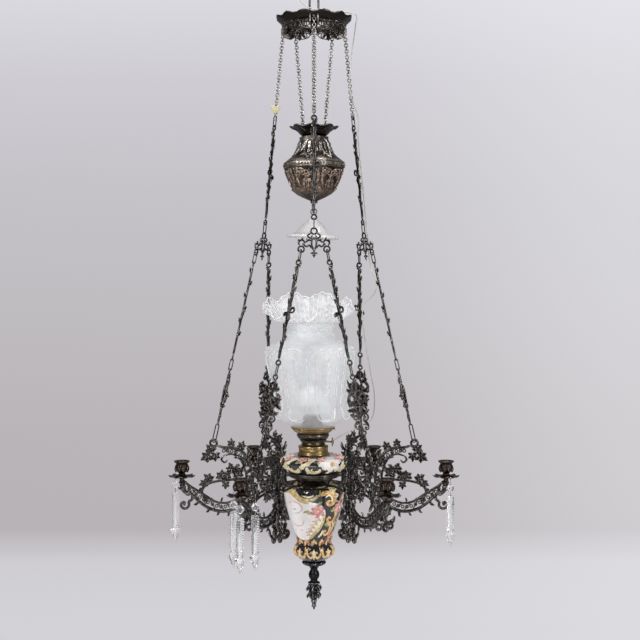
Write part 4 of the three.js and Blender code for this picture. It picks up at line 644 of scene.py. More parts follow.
softbox("key", (-1.5, -2.0, 0.7), (0, 0, -0.8), (0.9, 1.2), 44)
softbox("fill", (1.9, -1.7, -0.1), (0, 0, -0.8), (0.7, 1.4), 26)
softbox("top", (0.3, 0.2, 1.6), (0, 0, -0.6), (1.4, 1.4), 34)
softbox("low", (-0.4, -1.4, -1.6), (0, 0, -1.0), (1.2, 0.5), 5)
world = bpy.data.worlds.new("studio air")
world.use_nodes = True
world.node_tree.nodes["Background"].inputs["Color"].default_value = (0.80, 0.80, 0.83, 1)
world.node_tree.nodes["Background"].inputs["Strength"].default_value = 0.16
bpy.context.scene.world = world
print("lights:", len(bpy.data.lights))
# %% [markdown]
# The lamp hangs from a steel loop whose threaded stem holds the hub of three forks. The loop's solid is
# coarse, so a rounder one replaces it. The hub, the forks, the wheels and their pins are half hidden in the
# crown and keep their solids, with a finish only.

# %% Loop, hub and wheels
PULLEY_AZIMUTHS = {"front": 270, "right": 30, "left": 150}


def loop_piece():
    a = full_turn(32)
    rise = 13 * np.sign(np.sin(a)) * np.abs(np.sin(a)) ** 0.3
    path = np.stack([9.5 * np.cos(a), 0 * a, -20 + 9.5 * np.sin(a) + rise], 1)
    made = Mesh().add(tube(path, 2.4, 10, closed=True))
    made.add(turned([(0.01, -64), (7.5, -64), (8, -63.2), (8, -58.6), (7.5, -57.8), (3.9, -57.8),
                     (3.9, -45.2), (6, -45), (6.4, -43.6), (4, -42), (2, -41.4), (0.01, -41.4)], 24))
    return made.object("hanging_loop_ring", dark_steel, "canopy", ["hanging_loop"], "steel")


def dress(material, *names):
    for name in names:
        data = nodes[name].data
        data.materials.clear()
        data.materials.append(material)


loop_piece()
dress(bronze, "pulley_frame", *(f"pulley_wheel_{name}" for name in PULLEY_AZIMUTHS))
dress(dark_steel, *(f"pulley_pin_{name}" for name in PULLEY_AZIMUTHS))
print("loop made")

# %% [markdown]
# The crown is an openwork casting with a flared, scalloped rim and six hanging palmettes. Modelling it round
# would be hard to steer, so one sixth is drawn flat and then wrapped on the crown's curved side. The seams
# over the three chains stay open, because the chains pass there.

# %% The crown
CROWN_RADIUS = 72.0
CROWN_SQUASH, CROWN_PLACE = 0.76, -45.9
CROWN_HEIGHTS = [-56, -49, -28, -14, -6, 0, 3]
CROWN_RADII = [61, 61.5, 63, 67.5, 74, 81.5, 82.5]


def crown_unit(left_open, right_open):
    unit = Casting()
    for s in (-1, 1):
        unit.volute(s * 21, -19, 8.5, 90, 1.2, 3.6, hand=s, lead=[(s * 33, -5), (s * 27, -9)])
        unit.volute(s * 13, -36, 6, 60 if s > 0 else 120, 1.0, 3.0, hand=-s,
                    lead=[(s * 27, -30), (s * 21, -28)])
        unit.leaf([(s * 4, -8), (s * 11, -18), (s * 10, -30), (s * 17, -43)], 13, 3, 4, 0.12)
        unit.leaf([(s * 24, -8), (s * 29, -18), (s * 27, -32)], 10, 2, 3.5, 0.1)
        unit.leaf([(s * 12, -4), (s * 16, -12)], 8, 1, 3.5, 0.15)
        unit.stroke([(s * 28, -34), (s * 20, -42), (s * 8, -46), (0, -49)], [2.4, 3.2, 3, 2.4], 4)
        unit.stroke([(s * 31, -3), (s * 26, -20), (s * 28, -34)], [3, 2.4, 2.4], 3.4)
    unit.leaf([(0, -6), (0, -20), (0, -36), (0, -50)], 21, 4, 6, 0.06)
    for x in (-28, -18, -8, 8, 18, 28):
        unit.leaf([(x, -4), (x * 0.97, -10), (x * 0.93, -18)], 8, 2, 4, 0.0, lift=0.2)
    unit.rosette(0, -11, 6, 5, 4, lift=2)
    unit.bead(0, -26, 3.4, lift=2)
    for s, shut in ((-1, left_open), (1, right_open)):
        if not shut:
            unit.stroke([(s * 28, -34), (s * 33, -29), (s * 38, -28)], [2.6, 3.2, 2.6], 4)
            unit.leaf([(s * 37, -6), (s * 35, -18), (s * 37.7, -27)], 9, 2, 3.5, 0.1)
            unit.volute(s * 33.5, -14, 4, 90, 0.9, 2.2, hand=s)
    return unit


def wrap_crown(azimuth):
    def move(p):
        angle = math.radians(azimuth) + p[:, 0] / CROWN_RADIUS
        radius = np.interp(p[:, 1], CROWN_HEIGHTS, CROWN_RADII) + p[:, 2]
        return around(radius, angle, p[:, 1] * CROWN_SQUASH + CROWN_PLACE)
    return move


def crown_rim():
    def scallop(angle, radius, height):
        wave = np.cos(angle * 12 + math.pi)
        flute = np.cos(angle * 48)
        share = np.clip((radius - 64) / 18, 0, 1)
        drop = (2.2 * (1 - wave) - 0.4 * flute) * share
        return radius + (1.6 * wave + 0.3 * flute - 1.2) * share, height - drop
    return Mesh().add(turned([(66, -61), (64.5, -57), (66, -53), (74, -49), (79, -46.4), (82, -45.2),
                              (82.5, -47), (81, -50), (77, -54), (72, -59), (68.5, -63), (66, -61)], 120,
                             scallop))


crown = crown_rim()
for place in range(6):
    azimuth = place * 60
    left_open = (azimuth - 30) % 360 in PULLEY_AZIMUTHS.values()
    right_open = (azimuth + 30) % 360 in PULLEY_AZIMUTHS.values()
    crown.add(whole(crown_unit(left_open, right_open)), wrap_crown(azimuth))
crown.object("canopy_crown_casting", crown_bronze, "canopy", ["canopy_crown"], "bronze")
print("crown faces:", len(crown.faces))

# %% [markdown]
# Each chain climbs from the lamp, bends over its wheel and goes down inside to the counterweight. Its oval
# links stand crosswise by turns. They are set out along one line, and then split in three: the two straight
# runs stand free, and the bend stays on the wheel with the canopy.

# %% Chain line
PITCH_RADIUS, WHEEL_PLACE, WHEEL_HEIGHT = 15.0, 62.4, -69.3
OUTER_ANGLE, INNER_ANGLE = 0.111315, 0.097638
OUTER_RUN, INNER_RUN = 189.0, 210.0
CHAIN_PITCH, CHAIN_LINK_SHARE, CHAIN_LINK_WIDTH, CHAIN_WIRE = 12.5, 0.84, 9.2, 2.1


def on_line(angle, side, distance):
    """A point of a chain's straight run, for a chain at azimuth 0."""
    across = PITCH_RADIUS * math.cos(angle) + distance * math.sin(angle)
    rise = PITCH_RADIUS * math.sin(angle) - distance * math.cos(angle)
    return np.array([WHEEL_PLACE + side * across, 0, WHEEL_HEIGHT + rise])


def chain_path():
    arc = np.linspace(OUTER_ANGLE, math.pi - INNER_ANGLE, 40)
    bend = around(PITCH_RADIUS, arc, 0)[:, [0, 2, 1]] + (WHEEL_PLACE, 0, WHEEL_HEIGHT)
    outer = np.array([on_line(OUTER_ANGLE, 1, d) for d in np.linspace(OUTER_RUN, 1, 60)])
    inner = np.array([on_line(INNER_ANGLE, -1, d) for d in np.linspace(1, INNER_RUN, 60)])
    return np.vstack([outer, bend, inner])


def oval(length, width, wire, sides=6, count=20):
    """A flat oval link around the origin, long in y."""
    a = full_turn(count)
    stretch = (length - width) / 2 * np.sign(np.round(np.sin(a), 6))
    path = around((width - wire) / 2, a, 0) + np.stack([0 * a, stretch, 0 * a], 1)
    return tube(path, wire / 2, sides, closed=True)


def chain_run(azimuth, wanted):
    """The links of one part of a chain: its outer run, its bend over the wheel, or its inner run."""
    path = chain_path()
    steps = np.concatenate([[0], np.cumsum(np.linalg.norm(np.diff(path, axis=0), axis=1))])
    units = int(steps[-1] / CHAIN_PITCH)
    pitch = steps[-1] / units
    made = Mesh()
    bend = (OUTER_RUN, steps[-1] - INNER_RUN)

    def along(distance):
        return np.array([np.interp(distance, steps, path[:, i]) for i in range(3)])
    for k in range(units * 2 + 1):
        at = k * pitch / 2
        part = "outer" if at < bend[0] else "bend" if at < bend[1] else "inner"
        if part != wanted:
            continue
        centre = along(at)
        way = along(at + 2) - along(at - 2)
        way /= np.linalg.norm(way)
        side = np.array([0, 1.0, 0])
        out = np.cross(side, way)
        lean = math.radians((0, 90)[k % 2] if azimuth == PULLEY_AZIMUTHS["front"] else (45, -45)[k % 2])
        flat = side * math.cos(lean) + out * math.sin(lean)
        thin = out * math.cos(lean) - side * math.sin(lean)
        form = oval(pitch * CHAIN_LINK_SHARE, CHAIN_LINK_WIDTH, CHAIN_WIRE, 6, 14)
        made.add(form, lambda p: turn(azimuth)(centre + p[:, :1] * flat + p[:, 1:2] * way + p[:, 2:] * thin))
    return made


for name, azimuth in PULLEY_AZIMUTHS.items():
    outer = chain_run(azimuth, "outer").object(f"chain_{name}_outer_links", steel, slot="steel")
    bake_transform(outer)
    inner = chain_run(azimuth, "inner").object(f"chain_{name}_inner_links", steel, slot="steel")
    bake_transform(inner)
    chain_run(azimuth, "bend").object(f"chain_{name}_wheel_links", steel, "canopy", slot="steel")
    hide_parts(f"chain_{name}")
print("chain links per run:", round(OUTER_RUN / CHAIN_PITCH))

# %% [markdown]
# A small cream tag in the shape of a heart hangs on the left chain, just above its lowest link. Two round
# lobes and a point are enough for its outline; the section is a thin, slightly domed plate.

# %% The heart tag
tag_cream = Finish("cream tag", Roughness=0.5)
tag_cream.set("Base Color", tag_cream.noise(260).ramp((0.35, (0.72, 0.62, 0.34)), (0.7, (0.80, 0.74, 0.55))))


def heart_tag():
    t = full_turn(40)
    x = 10.4 * np.sin(t) ** 3
    y = 9.4 * np.cos(t) - 3.8 * np.cos(2 * t) - 1.5 * np.cos(3 * t)
    section = ((0.02, 1.7), (0.7, 1.6), (0.95, 1.0), (1, 0), (0.95, -1.0), (0.7, -1.6), (0.02, -1.7))
    rings = [np.stack([x * s, y * s, np.full(40, z)], 1) for s, z in section]
    place = turn(PULLEY_AZIMUTHS["left"])(on_line(OUTER_ANGLE, 1, 170)[None]) + np.array([[-1.0, -6.5, 0]])

    def move(p):
        return place + np.stack([p[:, 0], -p[:, 2], p[:, 1]], 1)
    return Mesh().add(skin(rings), move).object("heart_tag", tag_cream.material, "lamp", slot="plastic")


heart_tag()
print("tag made")
# %% [markdown]
# Below each chain hangs a leafy bar. It is a thin branch with pointed leaves that lie close to it and a
# ribbon bow at its middle. The same casting serves as upper and lower bar. We draw it flat, and add a second
# row of leaves across the first, so that it has body from every side.

# %% Bars and links
def bar(length):
    """A leafy branch from the eye at the origin down to the eye at -length."""
    made = Casting(swell=1.5)
    made.ring(0, 0, 5.0, 2.5, 3.2)
    made.ring(0, -length, 5.0, 2.5, 3.2)
    wave = [((-1) ** k * 1.1, -5 - (length - 10) * (k + 1) / 9) for k in range(8)]
    wave = [(0, -5), *wave, (0, 5 - length)]
    made.stroke(wave, [3.6, 5.4, 4.6, 5.4, 4.4, 5.4, 4.6, 5.2, 3.6], 4.8, steps=4)
    count = 7
    for k in range(count):
        y = -12 - (length - 30) * k / count
        if abs(y + length / 2) < 12:
            continue
        s = (-1) ** k
        made.leaf([(s * 0.5, y), (s * 4.2, y + 5), (s * 6.0, y + 13)], 6.6, 2, 3.2, 0.05, sweep=0.8)
        made.leaf([(-s * 0.5, y - 10), (-s * 3.0, y - 5), (-s * 5.2, y + 2)], 4.6, 1, 2.6, -0.1)
    middle = -length / 2
    for s in (-1, 1):
        made.stroke([(0, middle), (s * 5.5, middle + s * 7 + 3), (s * 10.5, middle + s * 8 + 1),
                     (s * 9.5, middle + s * 1.5), (0, middle)], [2.4, 3.4, 3.4, 2.8, 2.0], 2.6, lift=2.2)
        made.leaf([(0, middle), (s * 4.5, middle - 9), (s * 3.5, middle - 17)], 3.6, 1, 2, 0, lift=2.0)
    made.bead(0, middle, 3.6, lift=2.4)
    return made


def across_leaves(length):
    made = Casting()
    for k in range(6):
        y = -20 - (length - 40) * k / 6
        s = (-1) ** k
        made.leaf([(0, y), (s * 3.6, y + 5), (s * 5.0, y + 12)], 5.6, 2, 2.6, 0.05, sweep=0.8)
    return made


def compass(azimuth):
    """The level direction at an azimuth in degrees."""
    return math.cos(math.radians(azimuth)), math.sin(math.radians(azimuth)), 0


def link_between(made, top, foot, across, width=8.8, wire=2.3):
    """An oblong wire link that spans two points, as a mesh."""
    length = float(np.linalg.norm(np.array(foot) - np.array(top)))
    place = hung((np.array(top) + np.array(foot)) / 2, foot, across)
    made.add(oval(length, width, wire, 8, 24), place)


def line_point(distance, azimuth, angle=OUTER_ANGLE, side=1):
    """A point of the straight line on which a chain and its bar hang."""
    return turn(azimuth)(on_line(angle, side, distance)[None])[0]


# places along the line below a wheel, and along a lower hanger from its bracket
LINK = 27.0
UPPER_LINK, UPPER_EYE, UPPER_BAR, BRACKET_LINK, BRACKET_TOP = 182.4, 210.34, 208.0, 417.6, 447.34
LOWER_LINK, LOWER_EYE, LOWER_BAR, CARTOUCHE_LINK, CARTOUCHE_TOP = -0.2, 27.64, 209.0, 237.9, 265.77
ARM_LINK, ARM_LINK_END = 381.2, 423.4
for name, azimuth in PULLEY_AZIMUTHS.items():
    tangent, radial = compass(azimuth + 90), compass(azimuth)
    eye, low = line_point(UPPER_EYE, azimuth), line_point(BRACKET_TOP, azimuth)
    made = Mesh()
    made.add(whole(bar(UPPER_BAR)), hung(eye, low, tangent))
    made.add(whole(across_leaves(UPPER_BAR)), hung(eye, low, radial))
    link_between(made, line_point(UPPER_LINK, azimuth), line_point(UPPER_LINK + LINK, azimuth), radial)
    link_between(made, line_point(BRACKET_LINK, azimuth), line_point(BRACKET_LINK + LINK, azimuth), radial, 9)
    made.object(f"upper_bar_{name}_casting", bronze, "lamp", [f"upper_bar_{name}"], "bronze")
print("bar faces:", len(bar(UPPER_BAR).faces))

# %% [markdown]
# The bracket that spreads one bar into two is a small lyre: a ring on top, scrolls that swell to both sides,
# two rings below for the lower links, and an arrow point. Its strokes were measured from the front one, which
# shows flat against the white bell.

# %% Brackets
def lyre_bracket():
    made = Casting(swell=1.3)
    made.ring(0, 0, 6.3, 2.8, 3.6)
    for s in (-1, 1):
        made.stroke([(s * 5, -4), (s * 12.7, -8.5), (s * 9.7, -13.6), (s * 3.4, -15)], [2.4, 3, 3, 2.6], 3.4)
        made.stroke([(s * 3.4, -15), (s * 4.9, -23), (s * 4.2, -30), (0, -42)], [2.6, 3, 3, 2.8], 3.4)
        made.stroke([(s * 3.4, -21), (s * 10.6, -18.5), (s * 18, -23), (s * 24, -17.8), (s * 31.4, -22.5),
                     (s * 29.4, -30)], [2.4, 3.2, 2.6, 3.4, 3.2, 2.4], 3.4)
        made.stroke([(s * 21.6, -28), (s * 14.8, -32), (s * 9.8, -29), (s * 4.6, -36)], [3, 2.8, 2.8, 2.4],
                    3.2)
        made.bead(s * 21.2, -27, 3)
        made.bead(s * 12.7, -9.5, 2.4)
        made.bead(s * 31.2, -19, 2.6)
        made.bead(s * 24, -14.5, 2.2)
        made.ring(s * 26.2, -37.3, 6.2, 2.8, 3.4)
        made.leaf([(s * 3, -8), (s * 6, -14)], 5, 1, 3)
        made.stroke([(0, -46.6), (s * 4, -45.2), (s * 7.4, -46.8)], [2.6, 2.8, 1.8], 3)
        made.leaf([(s * 13, -21), (s * 15, -15)], 4, 1, 2.6)
    made.stroke([(0, -40), (0, -49)], 3.2, 3.6)
    made.leaf([(0, -45), (0, -50), (0, -55)], 8, 1, 3.4, sweep=0.1)
    made.bead(0, -15, 3.2)
    return made


for name, azimuth in PULLEY_AZIMUTHS.items():
    place = hung(line_point(BRACKET_TOP, azimuth), line_point(BRACKET_TOP + 60, azimuth),
                 compass(azimuth + 90))
    made = Mesh().add(whole(lyre_bracket()), place)
    made.object(f"hanger_bracket_{name}_casting", bronze, "lamp", [f"hanger_bracket_{name}"], "bronze")
print("brackets made")

# %% [markdown]
# Near its foot each lower bar carries a cartouche: shell-like fans of serrated leaves around a flower, with a
# scroll and a pierced stem below. Its outline is the most ragged on the lamp, so it is built from many leaves
# that overlap, drawn larger towards the outside.

# %% Cartouches and lower hangers
def cartouche():
    made = Casting(swell=1.2)
    made.ring(0, 0, 4.8, 3.0, 3.4)
    made.stroke([(0, -5), (3, -14), (1, -28), (-3, -40), (2, -54), (5, -68), (0, -82), (-5, -92), (0, -106),
                 (1, -113)], [4, 5, 5, 5, 6, 6, 5, 4.4, 4, 3.4], 5)
    for x, y, size, tip, hand in ((-9, -46, 12, 100, 1), (9, -44, 11, 80, -1), (-9, -68, 12, 200, 1),
                                  (9, -64, 12, -20, -1)):
        for lift in (-2.4, 2.4):
            made.c_scroll(x, y, size, tip, hand, 4.0, 3.4, lift)
    made.ring(1, -113.5, 4.4, 2.8, 3.2)
    made.leaf([(2, -8), (-3, -14), (-6, -22)], 8, 2, 4, 0.1)
    made.leaf([(1, -10), (7, -16), (8, -26)], 9, 2, 4, 0.1)
    made.leaf([(-7, -34), (-12, -20), (-12, -4)], 6, 3, 4, 0.1)
    for x, y, reach, toward in ((-4, -34, 18, 150), (-2, -56, 22, 165), (-2, -62, 22, 200), (3, -46, 19, 25),
                                (4, -54, 22, -8), (3, -64, 18, -45), (2, -28, 13, 40), (-3, -24, 14, 120)):
        t = math.radians(toward)
        made.leaf([(x, y), aim(x, y, reach * 0.55, t), aim(x, y, reach, t - 0.25)], 13, 3, 5.5, 0.16, 1.2,
                  0.4)
    made.volute(-10, -79, 7, 60, 1.2, 3.6, hand=1, lead=[(3, -66), (-2, -70)])
    made.volute(11, -84, 6.5, 120, 1.2, 3.4, hand=-1, lead=[(0, -72), (5, -74)])
    made.volute(-9, -100, 5.5, 60, 1.1, 3.0, hand=1, lead=[(0, -92)])
    made.volute(9, -104, 5, 100, 1.0, 2.8, hand=-1, lead=[(0, -96)])
    made.leaf([(-2, -84), (-13, -92), (-17, -100)], 7, 2, 3.5, 0.1)
    made.leaf([(3, -88), (13, -95), (15, -104)], 7, 2, 3.5, 0.1)
    made.leaf([(0, -100), (-6, -108), (-6, -116)], 6, 2, 3, 0.05)
    made.rosette(-1, -53, 10, 6, 5, lift=4)
    made.bead(-1, -53, 3, lift=8)
    made.rosette(3, -22, 6, 5, 4, lift=3)
    made.bead(-2, -76, 3.4, lift=4)
    return made


BRACKET_FOOT_RADIUS, BRACKET_FOOT_SIDE, BRACKET_FOOT_HEIGHT = 131.13, 26.2, -549.18
ARM_RING_RADIUS, ARM_RING_HEIGHT = 216.0, -961.11


def lower_hanger(number):
    azimuth = (number - 1) * 60
    chain = min(PULLEY_AZIMUTHS.values(), key=lambda p: abs((p - azimuth + 180) % 360 - 180))
    side = 1 if (azimuth - chain + 180) % 360 - 180 > 0 else -1
    top = turn(chain)(np.array([[BRACKET_FOOT_RADIUS, side * BRACKET_FOOT_SIDE, BRACKET_FOOT_HEIGHT]]))[0]
    foot = turn(azimuth)(np.array([[ARM_RING_RADIUS, 0, ARM_RING_HEIGHT]]))[0]
    way = (foot - top) / np.linalg.norm(foot - top)
    tangent, radial = compass(azimuth + 90), compass(azimuth)

    def at(distance):
        return top + way * distance
    made = Mesh()
    made.add(whole(bar(LOWER_BAR)), hung(at(LOWER_EYE), foot, tangent))
    made.add(whole(across_leaves(LOWER_BAR)), hung(at(LOWER_EYE), foot, radial))
    made.add(whole(cartouche()), hung(at(CARTOUCHE_TOP), foot, tangent))
    link_between(made, at(LOWER_LINK), at(LOWER_LINK + LINK), radial)
    link_between(made, at(CARTOUCHE_LINK), at(CARTOUCHE_LINK + LINK), radial)
    link_between(made, at(ARM_LINK), at(ARM_LINK_END), radial, 9.6, 2.6)
    return made.object(f"lower_hanger_{number}_casting", bronze, "lamp", [f"lower_hanger_{number}"], "bronze")


for number in range(1, 7):
    lower_hanger(number)
print("cartouche faces:", len(cartouche().faces))
# %% [markdown]
# The six arms are the lamp's show pieces: open scrollwork that leaves the font as a plait of rails, coils
# into a large scroll, and runs out to the candle cup, with ivy and curled leaves all over. One arm is drawn
# in its own plane, with the distance from the lamp's axis across and the height up, at the places measured on
# the left and right arms of the photograph, where it lies flat to the view. The rails come first, because all
# else sits on them.

# %% The arm's rails
ARM_REACH, PAN_HEIGHT = 284.0, -1032.81


def pierced_band(a, outer, inner, widths, depth, count, hole):
    """Two rails that run side by side, with small rings between them."""
    a.stroke(outer, widths[0], depth)
    a.stroke(inner, widths[1], depth * 0.7)
    first, second = spline(outer, 8), spline(inner, 8)
    for k in range(count):
        share = (k + 1) / (count + 1)
        i, j = int(share * (len(first) - 1)), int(share * (len(second) - 1))
        middle = (first[i] + second[j]) / 2
        a.ring(middle[0], middle[1], hole, 1.9, 3.6, 8)
        if k % 2:
            a.stroke([first[i], middle, second[j]], 2.2, 3.4, steps=2)


def arm_rails(a):
    outer = [(207, -967), (192, -971), (172, -972), (151, -983), (137, -1008), (132, -1038), (137, -1064),
             (151, -1084), (166, -1099), (186, -1107), (206, -1107), (226, -1101), (243, -1090), (257, -1077),
             (272, -1064)]
    inner = [(195, -989), (178, -985), (162, -992), (150, -1012), (145, -1038), (149, -1058), (163, -1078),
             (181, -1088), (198, -1090), (215, -1086), (232, -1075), (250, -1064), (268, -1053), (280, -1042)]
    widths = [4, 5, *[5.4] * 8, 5, 5, 5], [2.6, 3.6, 3.6, 3.6, 3.6, 4, 4.4, 4.4]
    pierced_band(a, outer, inner, widths, 8, 26, 3.0)
    a.stroke([(195, -989), (199, -997), (192, -1003), (186, -997)], [3, 3.4, 3, 2.4], 4)
    a.ring(ARM_RING_RADIUS, ARM_RING_HEIGHT, 7.2, 3.8, 5)
    a.stroke([(207, -967), (222, -974), (229, -984)], 3.4, 4)
    vine = [(146, -1052), (156, -1043), (168, -1039), (184, -1041), (200, -1042), (216, -1045), (230, -1050),
            (240, -1060), (240, -1072), (230, -1081), (218, -1080)]
    a.stroke(vine, [3.6, 4.4, 4.2, 4, 4, 4, 4.2, 4.8, 4.6, 4, 2.6], 5)
    a.stroke([(150, -1022), (160, -1016), (172, -1018), (178, -1026)], [3, 3.2, 3, 2.4], 4)
    a.volute(279, -1093, 9, 150, 1.0, 4.8, hand=1, lead=[(262, -1070), (262, -1082)])
    a.stroke([(ARM_REACH, PAN_HEIGHT - 1), (ARM_REACH - 1, -1050), (280, -1062), (268, -1074)],
             [7.5, 9, 8, 5.5], 10)
    a.bead(281, -1056, 6.4, depth=6)


arm = Casting(swell=1.35)
arm_rails(arm)
print("faces of the rails:", len(arm.faces))

# %% [markdown]
# The inner end keeps clear of the vase: only a hook and a brace reach in to the font's holder, and a stem
# runs down into the large coil. The C scrolls are set in pairs that lean to both sides, because a single flat
# one would look thin where an arm is seen end on.

# %% The arm's foot
def arm_foot(a):
    a.stroke([(60, -1038), (72, -1031), (90, -1034), (108, -1034), (124, -1024), (133, -1008)],
             [4, 4, 4, 4.5, 5, 5], 6)
    a.volute(66, -1040, 3.6, 90, 1.0, 2.4, hand=1, lead=[(76, -1032), (70, -1033)])
    a.stroke([(34, -1041), (60, -1045), (90, -1043), (130, -1048)], [3.6, 3.6, 3.8, 4.2], 6)
    a.stroke([(133, -1046), (130, -1062), (129, -1078), (125, -1094), (119, -1110)], [6, 6, 5.6, 5.4, 5], 10)
    coil = []
    for k in range(15):
        turned_by, reach = math.radians(80 - k * 34), (1 - k / 15) ** 0.7
        coil.append((118 + 18 * reach * math.cos(turned_by), -1134 + 12 * reach * math.sin(turned_by)))
    a.stroke([(116, -1112), *coil], [5, 6, 5.6, 4.6, 3.8], 9)
    a.bead(117, -1134, 3.6, depth=5)
    for x, y, size, tip, hand, wide in ((162, -1006, 15, 60, 1, 4.6), (156, -1066, 15, 40, 1, 4.6),
                                        (146, -1104, 16, -70, 1, 5.2), (158, -1124, 14, 20, -1, 4.8)):
        for lift in (-4.5, 4.5):
            a.c_scroll(x, y, size, tip + 1.5 * lift, hand, wide, 4, lift)
    for x, y, lead, hand in ((138, -1143, [(134, -1122), (134, -1136)], -1),
                             (162, -1140, [(148, -1116), (157, -1130)], -1)):
        a.volute(x, y, 5.5, 60, 0.9, 4.2, hand=hand, lead=lead, eye=False)
        a.bead(x, y - 4, 3.8, depth=3.4)
    for x, y, size in ((141, -1040, 9), (137, -1086, 7)):
        a.rosette(x, y, size, 6, 6, lift=6)
        a.rosette(x, y, size, 6, -6, lift=-6)


arm_foot(arm)
print("faces with the foot:", len(arm.faces))

# %% [markdown]
# Ivy and curled leaves grow over the rails. The ivy and the broad leaves are drawn twice, bent to either
# side, for the same reason as the scrolls.

# %% The arm's leaves
def arm_leaves(a):
    def curled(x, y, reach, toward, bend=25, width=0.55, lobes=3, curl=0.18, lift=1.5, depth=5.0):
        first, last = math.radians(toward), math.radians(toward + bend)
        middle = aim(x, y, reach * 0.55, first)
        a.leaf([(x, y), middle, aim(*middle, reach * 0.5, last)], reach * width, lobes, depth, curl, lift,
               0.45)

    # ivy in clusters: at the ring, below the upper curve and along the vine
    for x, y, size, toward in ((229, -990, 15, -30), (222, -976, 13, 50), (212, -988, 12, -90),
                               (178, -962, 10, 90), (156, -968, 11, 115), (176, -1016, 15, -60),
                               (187, -1030, 12, -20), (226, -1038, 13, 40), (236, -1048, 11, -20),
                               (200, -1033, 13, 100), (190, -1050, 10, -90), (162, -1028, 12, 80)):
        a.star(x, y, size * 1.15, toward, 3.8, 0.18, 1.0)
        a.star(x, y, size * 0.95, toward + 14, 3.4, -0.18, -1.0)
    for spot in ((181, -1042, 18, 30), (168, -1040, 18, 70), (216, -1046, 14, 25), (240, -1066, 12, -20),
                 (232, -1080, 12, -100)):
        curled(*spot)
    # broad curled leaves over the inner scrolls, in pairs that lean to both sides
    for x, y, reach, toward, bend in ((141, -992, 22, 110, -70), (136, -1012, 20, 40, 60),
                                      (133, -1060, 22, 10, 60), (126, -1088, 20, -10, 60),
                                      (132, -1112, 24, -10, -70), (150, -1100, 20, -40, 70),
                                      (152, -1128, 18, -40, 70)):
        curled(x, y, reach, toward, bend, 0.46, 3, 0.25, 4, 6)
        curled(x + 1, y - 1, reach * 0.94, toward + 16, bend, 0.46, 3, -0.25, -4, 6)
    for x, y, reach, toward, bend in ((185, -1107, 13, -110, 50), (206, -1107, 11, -95, 50),
                                      (226, -1101, 12, -80, 50), (166, -1101, 15, -120, 50),
                                      (250, -1086, 13, -70, 60), (281, -1058, 12, -20, 60),
                                      (198, -1088, 10, 80, 50), (244, -1067, 10, 70, 50)):
        curled(x, y, reach, toward, bend, 0.6, 2, 0.2, 1.0, 4)


arm_leaves(arm)
print("faces with the leaves:", len(arm.faces))

# %% [markdown]
# The six arms are castings from one mould. So they share one mesh here, set six times with its own rotation,
# and a change to the drawing shows on all of them.

# %% Six arms
def six_times(drawn, node, material, mapping):
    """Sets a piece six times round the lamp, as one shared mesh. Each copy replaces one solid."""
    first = drawn.object(f"{node}_drawing", material, mapping=mapping)
    data = first.data
    bpy.data.objects.remove(first)
    for number in range(1, 7):
        made = bpy.data.objects.new(f"{node}_{number}_casting", data)
        made.rotation_euler = (0, 0, math.radians((number - 1) * 60))
        bpy.context.collection.objects.link(made)
        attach(made, "lamp")
        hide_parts(f"{node}_{number}")
    print(node, "faces:", len(data.polygons))


six_times(arm, "arm", bronze, upright)

# %% [markdown]
# A candle cup is a small tulip with embossed petals and a flat rim, on a drip pan of drooping leaves. Both
# could be drawn as castings, but they are round, so a profile is turned and its radius and height are waved
# by angle. The socket in the cup is a real bore with a floor.

# %% Candle cups and drip pans
def petals(count, depth, low, high):
    """A wave of the radius that swells and fades between two heights."""
    def shape(angle, radius, height):
        share = np.clip((height - low) / (high - low), 0, 1)
        wave = np.abs(np.cos(angle * count / 2))
        return radius * (1 - depth * np.sin(share * math.pi) * (1 - wave)), height
    return shape


def pan_shape(angle, radius, height):
    lobe = np.abs(np.cos(angle * 4)) ** 0.6
    share = np.clip((radius - 9) / 20, 0, 1)
    fold = np.cos(angle * 8) * 1.6 * share
    droop = (4.5 * share ** 6 - 3.5 * share ** 2) * lobe
    return radius * (1 - 0.34 * share * (1 - lobe)), height + fold + droop


def cup_mesh():
    made = Mesh()
    z = PAN_HEIGHT
    made.add(turned([(0.01, z - 15.6), (6.2, z - 15.6), (6.8, z - 13), (5, z - 10), (4.6, z - 6), (7, z - 3),
                     (9, z - 1.6), (14, z - 0.6), (20, z), (25, z), (28.5, z - 0.6), (28.5, z + 1.0),
                     (24, z + 2.0), (18, z + 2.4), (12, z + 2.6), (9, z + 4), (0.01, z + 4)], 96, pan_shape))
    made.add(turned([(0.01, z + 3), (7.5, z + 3), (8.4, z + 4.4), (6.2, z + 6.6), (7, z + 8), (11.6, z + 11),
                     (14.6, z + 15), (15.6, z + 19), (14.4, z + 23.4), (12.4, z + 26.4), (12.6, z + 28),
                     (16.4, z + 31.2), (17.2, z + 32.6), (16.6, z + 33.8), (14, z + 33.9), (11.6, z + 33.2),
                     (11, z + 32), (11, z + 14.2), (10.4, z + 13.8), (0.01, z + 13.8)], 64,
                    petals(8, 0.13, z + 8, z + 27)))

    def on_tulip(p):
        bulge = 1.6 * np.sin(np.clip(p[:, 1] / 16, 0, 1) * math.pi)
        return np.stack([p[:, 2] + bulge, p[:, 0], p[:, 1]], 1)
    for k in range(8):
        petal = Casting().leaf([(0, 0), (0, 9), (0, 16)], 8, 1, 2.6, 0, sweep=0.1)
        made.add(whole(petal), lambda p: turn(k * 45 + 22.5, 13.4, z + 9)(on_tulip(p)))
    return made


six_times(cup_mesh(), "candle_cup", cup_bronze, turn(0, ARM_REACH))
